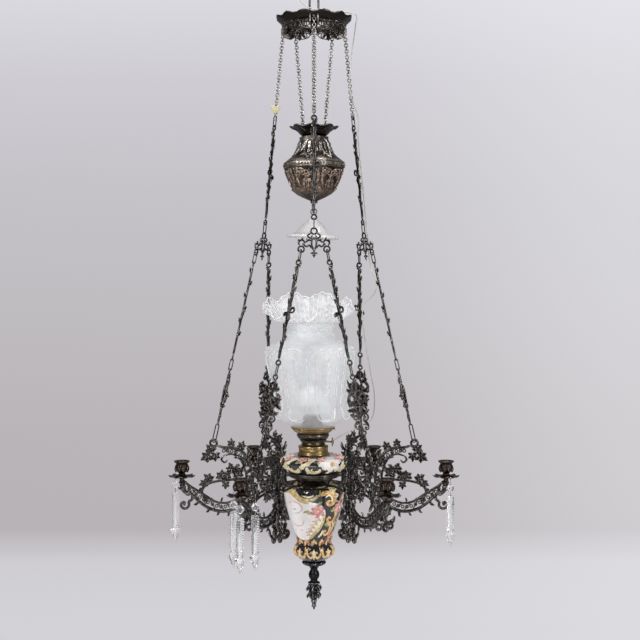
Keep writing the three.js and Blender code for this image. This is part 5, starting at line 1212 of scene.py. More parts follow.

# %% [markdown]
# Five cut glass drops are left: an octagon bead on a wire, and below it a long spear whose edges are notched
# and whose foot is cut like an arrow. Flat facets make them sparkle, so they keep hard edges. Clear glass
# over a pale wall shows as light and dark slivers, which comes from refraction and a little tint. They hang a
# little lower and longer than their solids, as the photograph shows them.

# %% Glass drops
# the faint white emission is a painted glow on the glass
crystal = Finish("cut glass", Roughness=0.02, IOR=1.52, Transmission_Weight=0.96, Emission_Strength=0.03,
                 Emission_Color=(1.0, 1.0, 1.0))
crystal.set("Base Color", crystal.noise(160).ramp((0.35, (0.93, 0.95, 0.97)), (0.65, (1.0, 1.0, 1.0))))
crystal.bump(crystal.noise(90, 2), 0.0006, 0.15)
# for each drop: its arm, its place around the pan, and how far its blade is turned on its wire
DROPS = {"left": (180, -54, -20), "right": (0, -77, 0), "front_outer": (240, -114, -12),
         "front_middle": (240, 30, 10), "front_inner": (240, 118, -80)}
DROP_SINKS, DROP_STRETCH = 12.0, 1.08
# how far out on the pan a drop hangs, and how high its bead and its wire's ring are above its solid's foot
PAN_HOLE, BEAD_HEIGHT, RING_HEIGHT, WIRE_TOP = 27.8, 116.4, 125.8, 126.6
BEAD_RADIUS, WIRE_RADIUS = 8.6, 0.55
# half of the spear's section: each point is a share of its thickness and of its half width
BLADE = [(-0.25, -1), (-1, -0.42), (-1.15, 0), (-1, 0.42), (-0.25, 1)]


def octagon_bead(z):
    rings = []
    for depth, size in ((-3.4, 0.52), (-2.2, 0.8), (0, 1.0), (2.2, 0.8), (3.4, 0.52)):
        k = (np.arange(8) + 0.5) * math.pi / 4
        rings.append(around(BEAD_RADIUS * size, k, depth)[:, [2, 0, 1]] + (0, 0, z))
    return skin(rings)


def spear():
    """Rings across the blade, from its flat top to the arrow's point."""
    steps = [(0, 5.2), (-2, 7.4)]
    y = -4.0
    while y > -62:
        steps += [(y, 8.2), (y - 1.5, 7.0), (y - 3.0, 8.2)]
        y -= 4.4
    steps += [(-68, 7.0), (-72, 5.0), (-75, 11.4), (-80, 9.4), (-89, 5.2), (-99.6, 0.3)]
    rings = []
    for z, half in steps:
        depth = 3.6 * min(1, 0.25 + half / 8)
        rings.append([(s * u * depth, s * v * half, z) for s in (1, -1) for u, v in BLADE])
    return skin(rings)


for name, (azimuth, round_pan, blade) in DROPS.items():
    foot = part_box(f"drop_{name}")[0].z / MM
    bead_height = foot + BEAD_HEIGHT - DROP_SINKS

    def place(p):
        return turn(azimuth, ARM_REACH)(turn(round_pan, PAN_HOLE)(turn(blade)(p)))
    glass = Mesh().add(octagon_bead(bead_height), place)
    glass.add(spear(), lambda p: place(p * (1, 1, DROP_STRETCH) + (0, 0, bead_height - 16)))
    glass.object(f"drop_{name}_glass", crystal.material, f"drop_{name}", [f"drop_{name}"], "crystal",
                 soft=False)
    wire = Mesh()
    for a, b in ((foot + WIRE_TOP, bead_height + 4.6), (bead_height - 4.9, bead_height - 17.9)):
        wire.add(tube([(0, 0, a), (0.4, 0.3, (a + b) / 2), (0, 0, b)], WIRE_RADIUS, 6), place)
    ring = around(3.2, full_turn(14), 0)[:, [0, 2, 1]] + (0, 0, foot + RING_HEIGHT)
    wire.add(tube(ring, WIRE_RADIUS, 6, closed=True), place)
    wire.object(f"drop_{name}_wire", steel, f"drop_{name}", slot="steel")
print("drops made:", len(DROPS))
# %% [markdown]
# The counterweight is pressed from brown bronze sheet: a scalloped dish, a six-sided bell, a band of beads
# and a deep bowl, all embossed with leaves. A plain hexagonal turning would look like a plumb bob, so each
# face gets a raised panel of leaves, drawn flat and laid on the curved face.

# %% Pressed bronze
weight_bronze = Finish("pressed bronze", Metallic=0.95)
grain = weight_bronze.noise(260, 5, 0.65)
patina = weight_bronze.noise(60, 4, 0.6)
ridge = weight_bronze.edges(0.495, 0.565)
height = weight_bronze.axes()[2]
silvery = height.smooth(-0.385, -0.355)
ground = weight_bronze.mix(patina.smooth(0.35, 0.7), (0.022, 0.015, 0.011), (0.085, 0.060, 0.042))
# ridges get a light colour, more silvery on the bell: worn sheet and a painted highlight
wear_and_highlight = weight_bronze.mix(silvery, (0.58, 0.45, 0.36), (0.86, 0.81, 0.76))
weight_bronze.set("Base Color", weight_bronze.mix(ridge * (0.2 + 0.8 * grain.smooth(0.35, 0.6)), ground,
                                                  wear_and_highlight))
weight_bronze.set("Roughness", 0.34 + 0.2 * patina - 0.12 * ridge)
weight_bronze.bump(grain * 0.6 + weight_bronze.noise(75, 3, 0.6) * 2.5, 0.0012, 0.6)
bright_bronze = blackened("bright bronze", (0.10, 0.08, 0.06), (0.60, 0.53, 0.44), rough=0.26, metallic=0.95)
print("metals:", len(bpy.data.materials))

# %% The counterweight's shell
WEIGHT_TURN = -16.5
WEIGHT_HOLLOW = 0.085
WEIGHT_PROFILE = [(28.6, -303), (30.5, -304), (32, -309), (34.5, -318), (37.5, -328), (42, -337),
                  (50, -345.6), (59, -352.6), (64.5, -357), (66.8, -361), (67, -368), (65.6, -371),
                  (62, -380), (57.4, -392), (52.6, -404), (48, -415), (45, -421), (38, -426.6), (28, -432),
                  (18, -436.4), (11, -439.4), (7, -441)]


def six_sided(angle, radius, height):
    share = np.clip((radius - 8) / 24, 0, 1)
    return radius * (1 - WEIGHT_HOLLOW * share * np.sin(angle * 3) ** 2), height


def weight_surface(azimuth):
    """Lays a drawing on the face at the azimuth: x runs round, y is the height, z stands out."""
    heights = [z for r, z in WEIGHT_PROFILE][::-1]
    radii = [r for r, z in WEIGHT_PROFILE][::-1]

    def move(p):
        base = np.interp(p[:, 1], heights, radii)
        angle = math.radians(azimuth) + p[:, 0] / np.maximum(base, 12)
        local = angle - math.radians(WEIGHT_TURN)
        radius = base * (1 - WEIGHT_HOLLOW * np.sin(local * 3) ** 2) + p[:, 2]
        return around(radius, angle, p[:, 1])
    return move


def weight_panel():
    made = Casting(swell=1.5)
    for s in (-1, 1):
        made.stroke([(0, -352), (s * 8, -340), (s * 11, -326), (s * 7, -314), (0, -308)],
                    [1.6, 2.6, 2.6, 2.2, 1.6], 3.4)
        made.leaf([(s * 2, -348), (s * 9, -342), (s * 16, -346)], 7, 2, 3.4)
        made.leaf([(s * 1, -338), (s * 5, -330), (s * 4, -318)], 6, 2, 3)
        made.stroke([(s * 29, -374), (s * 25, -392), (s * 18, -412)], [2.0, 3.0, 2.0], 3.6)
        made.leaf([(s * 6, -380), (s * 17, -384), (s * 20, -396)], 9, 3, 3.8)
        made.volute(s * 9, -384, 6, 90, 1.1, 2.4, hand=s, lead=[(s * 24, -374), (s * 17, -376)])
        made.leaf([(s * 3, -396), (s * 9, -404), (s * 9, -416)], 8, 2, 3.6)
    made.leaf([(0, -312), (0, -326), (0, -344)], 9, 3, 3.6)
    made.leaf([(0, -378), (0, -396), (0, -420)], 14, 4, 6.5)
    made.rosette(0, -384, 6.5, 6, 4, lift=2)
    for s in (-1, 1):
        made.leaf([(s * 20, -376), (s * 26, -390), (s * 21, -408)], 9, 3, 6)
        made.leaf([(s * 10, -314), (s * 15, -328), (s * 20, -338)], 8, 3, 5)
        made.bead(s * 24, -417, 3.4, depth=3.4)
    return made


body = Mesh().add(turned(WEIGHT_PROFILE, 96, six_sided), turn(WEIGHT_TURN))
panel = whole(weight_panel())
for side in range(6):
    body.add(panel, weight_surface(WEIGHT_TURN + 30 + side * 60))
body.object("weight_shell_sheet", weight_bronze.material, "counterweight", ["weight_shell", "weight_ballast"],
            "weight")
print("shell faces:", len(body.faces))

# %% Band, dish and rod
BAND_BEADS, BAND_HEIGHT = 60, -364.5
band = Mesh()
for k in range(BAND_BEADS):
    band.add(whole(Casting().bead(0, BAND_HEIGHT, 2.7, depth=2.2)), weight_surface(360 * k / BAND_BEADS))
for height, wire in ((-359.6, 1.5), (-369.6, 1.7), (-305, 1.6)):
    path = [weight_surface(math.degrees(a))(np.array([[0, height, 0.2]]))[0] for a in full_turn(96)]
    band.add(tube(path, wire, 6, closed=True))
band.object("weight_band", bright_bronze, "counterweight", slot="weight")


def dish_shape(angle, radius, height):
    share = np.clip((radius - 26) / 26, 0, 1)
    wave = np.cos(angle * 8 + 0.4)
    return radius * (1 + 0.05 * share * wave), height + 2.2 * share ** 2 * wave


def on_dish(p):
    """Lays a drawing on the dish: x runs outwards and climbs with it."""
    climb = 15.5 * np.clip(p[:, 0] / 21, 0, 1) ** 0.75
    return np.stack([29 + p[:, 0], p[:, 1], -297.6 + climb - p[:, 2] * 0.6], 1)


dish = Mesh().add(turned([(4.6, -300.6), (26, -300.8), (30, -298), (36, -291), (42, -285.4), (48, -283),
                          (50.4, -283.6), (50.8, -281.6), (48, -280.6), (41, -283), (34.5, -289), (28, -295),
                          (22, -297), (4.6, -297.2)], 96, dish_shape))
for k in range(8):
    leaf = Casting().leaf([(0, 0), (9, 0), (21, 0)], 15, 3, 2.6, 0)
    dish.add(whole(leaf), lambda p: turn(k * 45)(on_dish(p)))
WEIGHT_LINK = 203.4
for azimuth in PULLEY_AZIMUTHS.values():
    link_between(dish, line_point(WEIGHT_LINK, azimuth, INNER_ANGLE, -1),
                 line_point(WEIGHT_LINK + LINK, azimuth, INNER_ANGLE, -1), compass(azimuth + 90))
dish.object("weight_cover_dish", crown_bronze, "counterweight", ["weight_cover"], "weight")
rod = Mesh().add(turned([(0.01, -294.5), (6.5, -294.5), (8, -293), (8, -290.4), (6, -288.9), (0.01, -288.6)],
                        24))
rod.add(turned([(0.01, -446.5), (6, -446), (8.2, -443.6), (7.4, -441.2), (4, -440.6), (0.01, -440.5)], 24))
a = full_turn(24)
rod.add(tube(np.stack([0 * a, 7.6 * np.cos(a), -452.4 + 7.8 * np.sin(a)], 1), 1.4, 8, closed=True))
rod.object("weight_rod_eye", dark_steel, "counterweight", ["weight_rod"], "steel")
print("dish faces:", len(dish.faces))

# %% [markdown]
# The smoke bell is blown from white opal glass and hangs a little askew on its knob. Opal glass is almost a
# paint: white, very smooth, and light goes a short way into it. Subsurface light gives that soft edge.

# %% Smoke bell
opal = Finish("opal glass", Roughness=0.16, IOR=1.5, Subsurface_Weight=0.4, Subsurface_Scale=0.004,
              Subsurface_Radius=(1.0, 0.95, 0.9), Coat_Weight=0.3)
opal.set("Base Color", opal.noise(30).ramp((0.3, (0.86, 0.86, 0.86)), (0.7, (0.93, 0.93, 0.94))))
opal.bump(opal.noise(25, 1), 0.001, 0.12)
BELL_TILT, BELL_HOOK = 3.0, -456.7


def bell_place(p):
    a = math.radians(BELL_TILT)
    x, z = p[:, 0], p[:, 2]
    return np.stack([math.cos(a) * x + math.sin(a) * z, p[:, 1],
                     math.cos(a) * z - math.sin(a) * x + BELL_HOOK], 1)


BELL_PROFILE = [(0.01, -12.6), (3.4, -12.4), (5.6, -14), (6.2, -17), (8.5, -22), (13, -28), (19, -33),
                (25.5, -39), (31, -46), (36, -52), (43, -56), (50, -58.4), (55.6, -59.6), (56, -61.6),
                (55.8, -64), (53.6, -64), (53, -62), (44, -60), (33.5, -54.6), (28, -48), (22.5, -41),
                (16, -35), (9, -28), (0.01, -24)]
bell = Mesh().add(turned(BELL_PROFILE, 72), bell_place)
bell.object("smoke_bell_glass", opal.material, "smoke_bell", ["smoke_bell"], "opal")
a = full_turn(24)
ring = Mesh().add(tube(np.stack([6.4 * np.cos(a), 0 * a, -7.2 + 6.6 * np.sin(a)], 1), 1.1, 8, closed=True),
                  bell_place)
ring.object("smoke_bell_ring", dark_steel, "smoke_bell", slot="steel")
print("bell made")

# %% [markdown]
# The shade is frosted glass with eight arched panels. Their outlines are raised lines of clear glass, with a
# small flower and fronds inside and three balls between the arches, and the rim above the neck is crimped
# into a wide ruffle of clear glass. Two profiles, waved by angle, give lobes and ruffle; the lines are drawn
# flat and laid on them. The photograph shows the shade leaning, so one more mapping shears it to the left.

# %% The shade's form
SHADE_REFERENCE = 92
SHADE_PROFILE = [(39.6, -936), (40.6, -930), (46, -923.6), (60, -915), (72, -908), (78.5, -902), (81, -896),
                 (80, -889), (78, -878), (80, -858), (84, -838), (88.5, -818), (92.5, -798), (95.5, -782),
                 (95.5, -768), (92, -757), (84, -749), (74, -744.5), (64, -741), (57, -736), (54, -727),
                 (53.6, -715), (55.4, -703)]
RUFFLE_PROFILE = [(55.4, -703), (60, -701), (67, -699), (75, -697), (83, -695), (91, -693), (98, -691)]


def shade_shape(angle, radius, height):
    belly = np.clip((height + 905) / 40, 0, 1) * np.clip((-748 - height) / 14, 0, 1)
    lobe = np.abs(np.cos(angle * 4)) ** 0.8
    return radius * (1 - 0.055 * belly * (1 - lobe)), height


def ruffle_shape(angle, radius, height):
    """Eight deep folds: the front hangs lowest, and the rim climbs to the back."""
    share = np.clip((radius - 55.4) / 42.6, 0, 1)
    fold = np.cos((angle + math.pi / 2) * 8)
    pinch = (1 - np.abs(np.sin((angle + math.pi / 2) * 4))) * (0.65 - 0.35 * np.sin(angle))
    pleat = np.sin(angle * 32)
    up = -703 + share ** 1.2 * (43 + 20 * np.sin(angle)) - share ** 1.3 * 15 * (pinch * 1.4 + fold * 0.25)
    return radius + share * (3.5 * fold + 1.2 * pleat) - 2, up + 1.8 * share * pleat


LEAN_FOOT, LEAN = -1010, 0.036


def leaned(p):
    """Everything above the font leans a little to the left."""
    return np.stack([p[:, 0] - (p[:, 2] - LEAN_FOOT) * LEAN, p[:, 1], p[:, 2]], 1)


def thick(profile, wall):
    inner = [(r - wall, z) for r, z in profile]
    return [*profile, *inner[::-1], profile[0]]


print("lean in mm at the rim:", round((RUFFLE_PROFILE[-1][1] - LEAN_FOOT) * LEAN, 1))

# %% Frosted and clear glass
# the faint bluish emission is a painted glow that brightens the frosting
frosted = Finish("frosted glass", IOR=1.46, Subsurface_Weight=0.25, Subsurface_Scale=0.01,
                 Emission_Strength=0.07, Emission_Color=(0.9, 0.92, 1.0))
z = frosted.axes()[2]
cloud = frosted.noise(38, 4, 0.6)
fine = frosted.noise(700, 2)
top = (z + 0.69).smooth(-0.03, 0.03)
frosted.set("Base Color", frosted.mix(cloud.smooth(0.3, 0.7), (0.86, 0.87, 0.89), (0.95, 0.955, 0.965)))
frosted.set("Roughness", 0.36 - 0.2 * top + 0.1 * fine)
foot = 1 - (z + 0.86).smooth(-0.04, 0.06)
frosted.set("Alpha", 0.34 - 0.09 * foot - 0.12 * top + 0.16 * (cloud - 0.5))
frosted.bump(fine * 0.3 + cloud * 0.5, 0.0002, 0.2)


def glass_line(name, low, high):
    """Clear glass whose thick places look white and whose thin ones let the backdrop through, with a painted
    glow.
    """
    finish = Finish(name, Roughness=0.12, IOR=1.5, Emission_Strength=0.08, Emission_Color=(1.0, 1.0, 1.0))
    finish.set("Base Color", finish.noise(200).ramp((0.4, (0.90, 0.91, 0.93)), (0.7, (1.0, 1.0, 1.0))))
    finish.set("Alpha", low + (high - low) * finish.noise(70, 3).smooth(0.4, 0.62))
    finish.bump(finish.noise(300), 0.0003, 0.4)
    return finish.material


clear_line = glass_line("clear glass line", 0.22, 0.62)
clear_wall = glass_line("clear glass wall", 0.16, 0.46)
rim_line = glass_line("clear glass rim", 0.62, 0.92)
print("glass ready")

# %% The shade and its lines
shade = Mesh().add(turned(thick(SHADE_PROFILE, 2.6), 128, shade_shape))
shade.object("shade_body_glass", frosted.material, "shade", ["shade"], "frosted", mapping=leaned)


def shade_surface(azimuth):
    """Lays a drawing on the shade's wall at the azimuth."""
    heights = [z for r, z in SHADE_PROFILE[6:]]
    radii = [r for r, z in SHADE_PROFILE[6:]]

    def move(p):
        base = np.interp(p[:, 1], heights, radii)
        angle = math.radians(azimuth) + p[:, 0] / SHADE_REFERENCE
        radius, height = shade_shape(angle, base, p[:, 1])
        return around(radius + p[:, 2], angle, height)
    return move


def panel_outline(inset, width):
    half, arch, foot = 29 - inset, -755 - inset, -905 + inset * 0.6
    path = [(-half * 0.5, foot), (-half * 0.78, foot + 12), (-half * 0.95, foot + 40), (-half, -810)]
    bow = np.linspace(0.15, math.pi - 0.15, 9)
    path += [(-half * math.cos(t), arch - 24 + 24 * math.sin(t)) for t in bow]
    path += [(half, -810), (half * 0.95, foot + 40), (half * 0.78, foot + 12), (half * 0.5, foot)]
    return Casting().stroke(path, width, 2.6, steps=5, closed=True)


lines = Mesh()
for side in range(8):
    azimuth = 22.5 + side * 45
    lines.add(whole(panel_outline(0, 3.4)), shade_surface(azimuth))
    lines.add(whole(panel_outline(6, 1.4)), shade_surface(azimuth))
    lines.add(whole(Casting().rosette(0, -774, 5, 4, 2.2)), shade_surface(azimuth))
    balls = Casting().bead(0, -766, 4.6, depth=4).bead(-3.4, -756, 3.6, depth=3.4).bead(3.4, -756, 3.6,
                                                                                        depth=3.4)
    lines.add(whole(balls), shade_surface(azimuth + 22.5))
    frond = Casting()
    for foot in np.arange(-796, -871, -15):
        for s in (1, -1):
            frond.leaf([(0, foot), (s * 4.5, foot + 6), (s * 8, foot + 15)], 5, 1, 1.2)
    lines.add(whole(frond), shade_surface(azimuth))
neck = Casting()
NECK_RADIUS = 54
for k in range(24):
    x = (k + 0.5) * 2 * math.pi * NECK_RADIUS / 24
    neck.leaf([(x - 5, -722), (x, -714), (x + 5, -722)], 4.6, 2, 2)
    neck.bead(x, -729, 1.7).bead(x + 7, -710, 1.5)
neck.stroke([(k * 2 * math.pi * NECK_RADIUS / 60, -733 + 1.4 * (k % 2)) for k in range(60)], 1.6, 2)
lines.add(whole(neck), lambda p: around(53.8 + p[:, 2], p[:, 0] / NECK_RADIUS, p[:, 1]))
lines.object("shade_lines", clear_line, "shade", slot="frosted", mapping=leaned)
print("shade faces:", len(shade.faces) + len(lines.faces))

# %% The ruffle
ruffle = Mesh().add(turned(thick(RUFFLE_PROFILE, 2.2), 192, ruffle_shape))
ruffle.object("shade_ruffle_glass", clear_wall, "shade", slot="frosted", mapping=leaned)
ribs = Mesh()
for a in full_turn(48):
    run = []
    for r, z in RUFFLE_PROFILE[1:]:
        radius, height = ruffle_shape(a, r, z)
        run.append(around(radius, a, height))
    ribs.add(tube(spline(run, 3), 1.0, 5))
a = full_turn(192)
radius, height = ruffle_shape(a, *RUFFLE_PROFILE[-1])
edge = around(radius - 1, a, height)
ribs.add(tube(edge, 1.6, 6, closed=True))
ribs.object("shade_ruffle_ribs", rim_line, "shade", slot="frosted", mapping=leaned)
print("ruffle faces:", len(ruffle.faces))

# %% [markdown]
# In the shade stands a frosted globe bulb on a dark holder. It is off; a faint emission, a painted glow,
# makes it show as a paler ball behind the frosting. Below it are the gallery that carries the shade, the
# burner's pierced basket with its zigzag teeth, the brass collar and the little wick knob, all turned parts
# with different wear.

# %% The bulb and its holder
# the bulb's faint white emission is a painted glow, since the bulb is off
frosted_bulb = Finish("frosted bulb", Roughness=0.3, IOR=1.45, Emission_Strength=0.14,
                      Emission_Color=(1.0, 1.0, 1.0))
frosted_bulb.set("Base Color", frosted_bulb.noise(40).ramp((0.3, (0.80, 0.81, 0.83)),
                                                           (0.7, (0.93, 0.93, 0.95))))
holder_plastic = Finish("holder plastic", Roughness=0.4)
holder_plastic.set("Base Color", holder_plastic.noise(150).ramp((0.3, (0.09, 0.085, 0.08)),
                                                                (0.8, (0.16, 0.15, 0.14))))
globe = [(0.01, -919), (7.4, -918), (7.8, -906), (9, -900), (14, -894), (22, -889), (29, -881)]
globe += [(34 * math.cos(t), -872 + 34 * math.sin(t)) for t in np.linspace(-0.2, math.pi / 2 - 0.01, 14)]
Mesh().add(turned(globe, 64)).object("bulb_globe", frosted_bulb.material, "lamp", ["bulb"], "frosted",
                                     mapping=leaned)
socket = [(0.01, -962.3), (9.4, -962.3), (10, -961), (10.6, -940), (23, -936), (24, -930), (22.6, -922),
          (20, -914), (19, -904), (17, -901), (8.4, -902), (8.2, -918), (0.01, -918.4)]
Mesh().add(turned(socket, 40)).object("bulb_socket_body", holder_plastic.material, "lamp", ["bulb_socket"],
                                      "plastic", mapping=leaned)
print("bulb made")

# %% The gallery
gallery = [(12.5, -939.6), (30, -939.7), (35, -938.6), (40, -935.4), (43.4, -931.6), (44.4, -929),
           (46.6, -928), (47, -926.6), (46, -925.8), (43.6, -926.6), (42.2, -930), (39, -933.4), (34, -936.4),
           (29, -937.4), (12.5, -937.4)]
made = Mesh().add(turned(gallery, 72))
for k in range(3):
    screw = turned([(0.01, 0), (1.6, 0), (1.6, 6), (3.6, 6.4), (3.8, 8.4), (2.6, 9.4), (0.01, 9.6)], 16)
    made.add(screw, lambda p: turn(k * 120)(np.stack([42.4 + p[:, 2] * 0.62, p[:, 0], -929.6 + p[:, 1]], 1)))
made.object("gallery_ring", brass, "lamp", ["gallery"], "brass", mapping=leaned)
print("gallery faces:", len(made.faces))

# %% The burner
BASKET_RADIUS = 30


def burner_mesh():
    made = Mesh()
    made.add(turned([(13, -965), (24, -965), (25.4, -963.6), (25.4, -961.6), (24, -960.2), (24.6, -955),
                     (28, -950), (32, -946), (33.8, -943.4), (34, -941), (32, -940.3), (13, -940.3)], 72))
    teeth = Casting()
    for k in range(36):
        x = k * 2 * math.pi * BASKET_RADIUS / 36
        teeth.stroke([(x - 2.3, -3), (x, 3.4), (x + 2.3, -3)], 1.3, 2, steps=2)
        teeth.bead(x, -7.2, 1.2)
        teeth.bead(x + 2.6, -10.4, 1.0)
        teeth.bead(x, 5.6, 0.9)

    def basket(p):
        angle = p[:, 0] / BASKET_RADIUS
        radius = np.interp(p[:, 1], [-13, -8, -3, 3, 7], [24.6, 27.4, 31.6, 34, 34.2]) + p[:, 2]
        return around(radius, angle, -947.4 + p[:, 1] * 0.95)
    made.add(whole(teeth), basket)
    return made


burner_mesh().object("burner_basket", bright_bronze, "lamp", ["burner"], "bronze", mapping=leaned)
dark_band = Mesh().add(turned([(25.9, -957), (28.8, -951.4), (32.6, -947), (34.4, -943.6), (33.6, -942.8),
                               (31.8, -946), (28, -950.4), (25, -956.6), (25.9, -957)], 72))
dark_band.object("burner_shadow_band", bronze, "lamp", slot="bronze", mapping=leaned)
print("burner made")

# %% Collar and wick knob
collar = [(17, -986.3), (33, -986.3), (34.4, -985.4), (34.4, -982.8), (33, -981.4), (31.8, -980.4),
          (31.4, -979), (31.4, -970.4), (32, -969.6), (32, -967), (31, -965.8), (28, -965.6), (17, -965.6)]
Mesh().add(turned(collar, 72)).object("font_collar_ring", brass, "lamp", ["font_collar"], "brass",
                                      mapping=leaned)
KNOB_HEIGHT = -958.6
knob = Mesh().add(tube([(x, 0, KNOB_HEIGHT) for x in (14, 24, 38)], 1.5, 10))
wheel = turned([(0.01, 38), (4, 38), (8.6, 38.4), (9, 39.4), (8.6, 40.6), (5, 40.8), (3.6, 42.4),
                (0.01, 42.5)], 40, lambda a, r, z: (r * (1 + 0.03 * np.cos(a * 20) * (r > 7)), z))
knob.add(wheel, lambda p: np.stack([p[:, 2], p[:, 1], KNOB_HEIGHT + p[:, 0]], 1))
knob.object("wick_knob_wheel", brass, "wick_knob", ["wick_knob"], "bronze")
print("knob faces:", len(knob.faces))
# %% [markdown]
# Vase and font are glazed majolica: a black ground with cream, olive and orange scrolls, pink flowers with
# yellow hearts, green leaves, and large white panels. On such ware the ornament stands a little proud of the
# ground, under a thick clear glaze. So it is drawn with the casting tools, in colours, and laid on the vase.
# A faint emission in each glaze's own colour is a painted glow that brightens the ware.

# %% Glazes
GLAZE_PAINTED_GLOW = 0.14


def glaze(name, low, high, scale, shade=None):
    """A glossy colour that pools darker in some places, as brushed glaze does; a shade colour paints shade in
    hollows.
    """
    finish = Finish(name, Roughness=0.1, Coat_Weight=1.0, Coat_Roughness=0.04, IOR=1.5,
                    Emission_Strength=GLAZE_PAINTED_GLOW)
    pool = finish.noise(scale, 4, 0.6)
    colour = finish.mix(pool.smooth(0.32, 0.68), low, high)
    # the hollows of the relief get the shade colour: pooled glaze and painted shade
    if shade:
        colour = finish.mix(finish.edges(0.44, 0.53), shade, colour)
    finish.set("Base Color", colour)
    # the emission in the glaze's own colour is a painted glow
    finish.set("Emission Color", colour)
    finish.bump(finish.noise(35, 2), 0.0008, 0.2)
    return finish.material


black = glaze("black glaze", (0.010, 0.009, 0.011), (0.032, 0.030, 0.036), 90)
cream = glaze("cream glaze", (0.86, 0.70, 0.36), (0.93, 0.87, 0.68), 75, shade=(0.55, 0.24, 0.07))
orange = glaze("orange glaze", (0.55, 0.24, 0.05), (0.88, 0.66, 0.32), 105, shade=(0.30, 0.10, 0.03))
olive = glaze("olive glaze", (0.34, 0.24, 0.07), (0.78, 0.66, 0.34), 120, shade=(0.16, 0.10, 0.03))
pink = glaze("pink glaze", (0.62, 0.16, 0.17), (0.88, 0.50, 0.48), 110, shade=(0.42, 0.06, 0.07))
white = glaze("white glaze", (0.84, 0.79, 0.77), (0.95, 0.93, 0.91), 40)
blush = glaze("blush glaze", (0.70, 0.42, 0.42), (0.84, 0.66, 0.66), 60)
green = glaze("green glaze", (0.20, 0.24, 0.09), (0.48, 0.47, 0.22), 120, shade=(0.08, 0.11, 0.03))
print("glazes made")

# %% [markdown]
# The vase's profile bellies out below its shoulder and narrows to a waist above a small bulb. It starts from
# the solid's heights and is stretched a little upwards, because the photograph shows the joint with the font
# higher. A drawing on it runs round the vase in millimetres at the belly, so scrolls keep their shape where
# they are seen most.

# %% The vase's form
SOLID_HEIGHTS = [-1300, -1171, -1060.8, -1031, -987, -900]
SHOWN_HEIGHTS = [-1300, -1171, -1052, -1023, -987, -900]


def lifted(profile):
    """The photograph shows the joint of vase and font a little higher than the solids have it."""
    return [(r, float(np.interp(z, SOLID_HEIGHTS, SHOWN_HEIGHTS))) for r, z in profile]


VASE_PROFILE = lifted([(20, -1213.6), (25, -1211.6), (36, -1204), (42, -1195), (43.4, -1188.6), (41, -1181),
                       (36.6, -1174.6), (35, -1171), (36.8, -1166), (43, -1150), (50, -1132), (56.4, -1112),
                       (61, -1094), (63.6, -1078), (63.8, -1070), (61, -1063.6), (56, -1061), (50, -1060.8)])


def ware_surface(profile, reference, centre=0.0):
    """Lays a drawing on a turned piece; the reference is the radius at which its widths are true."""
    heights, radii = [z for r, z in profile], [r for r, z in profile]

    def move(p):
        radius = np.interp(p[:, 1], heights, radii) + p[:, 2]
        angle = math.radians(270 + centre) + p[:, 0] / reference
        return around(radius, angle, p[:, 1])
    return move


def smooth_profile(profile):
    return [tuple(point) for point in spline(profile, 4)]


def relief(name, part, colour, *mappings):
    """A drawing in one glaze, laid on the ware once for each mapping."""
    made = Mesh()
    for mapping in mappings:
        made.add(whole(part), mapping)
    made.object(f"{name}_{colour}_relief", GLAZES[colour], "lamp", slot="glaze")


vase_profile = smooth_profile(VASE_PROFILE)
Mesh().add(turned(vase_profile, 96)).object("vase_ground", black, "lamp", ["vase"], "glaze")
print("rings of the vase:", len(vase_profile))

# %% The vase's decoration
def patch(outline_points, lift):
    """A raised field with a soft edge, filled from its middle."""
    line = spline(outline_points, 6, closed=True)
    middle = line.mean(0)
    steps = [(1.0, -0.8), (1.0, lift * 0.6)] + [(k, lift) for k in (0.96, 0.8, 0.6, 0.4, 0.2, 0.03)]
    rings = []
    for share, height in steps:
        flat = middle + (line - middle) * share
        rings.append(np.column_stack([flat, np.full(len(flat), height)]))
    return skin(rings)


PANEL_REFERENCE, FOOT_REFERENCE, FONT_REFERENCE = 52, 60, 62


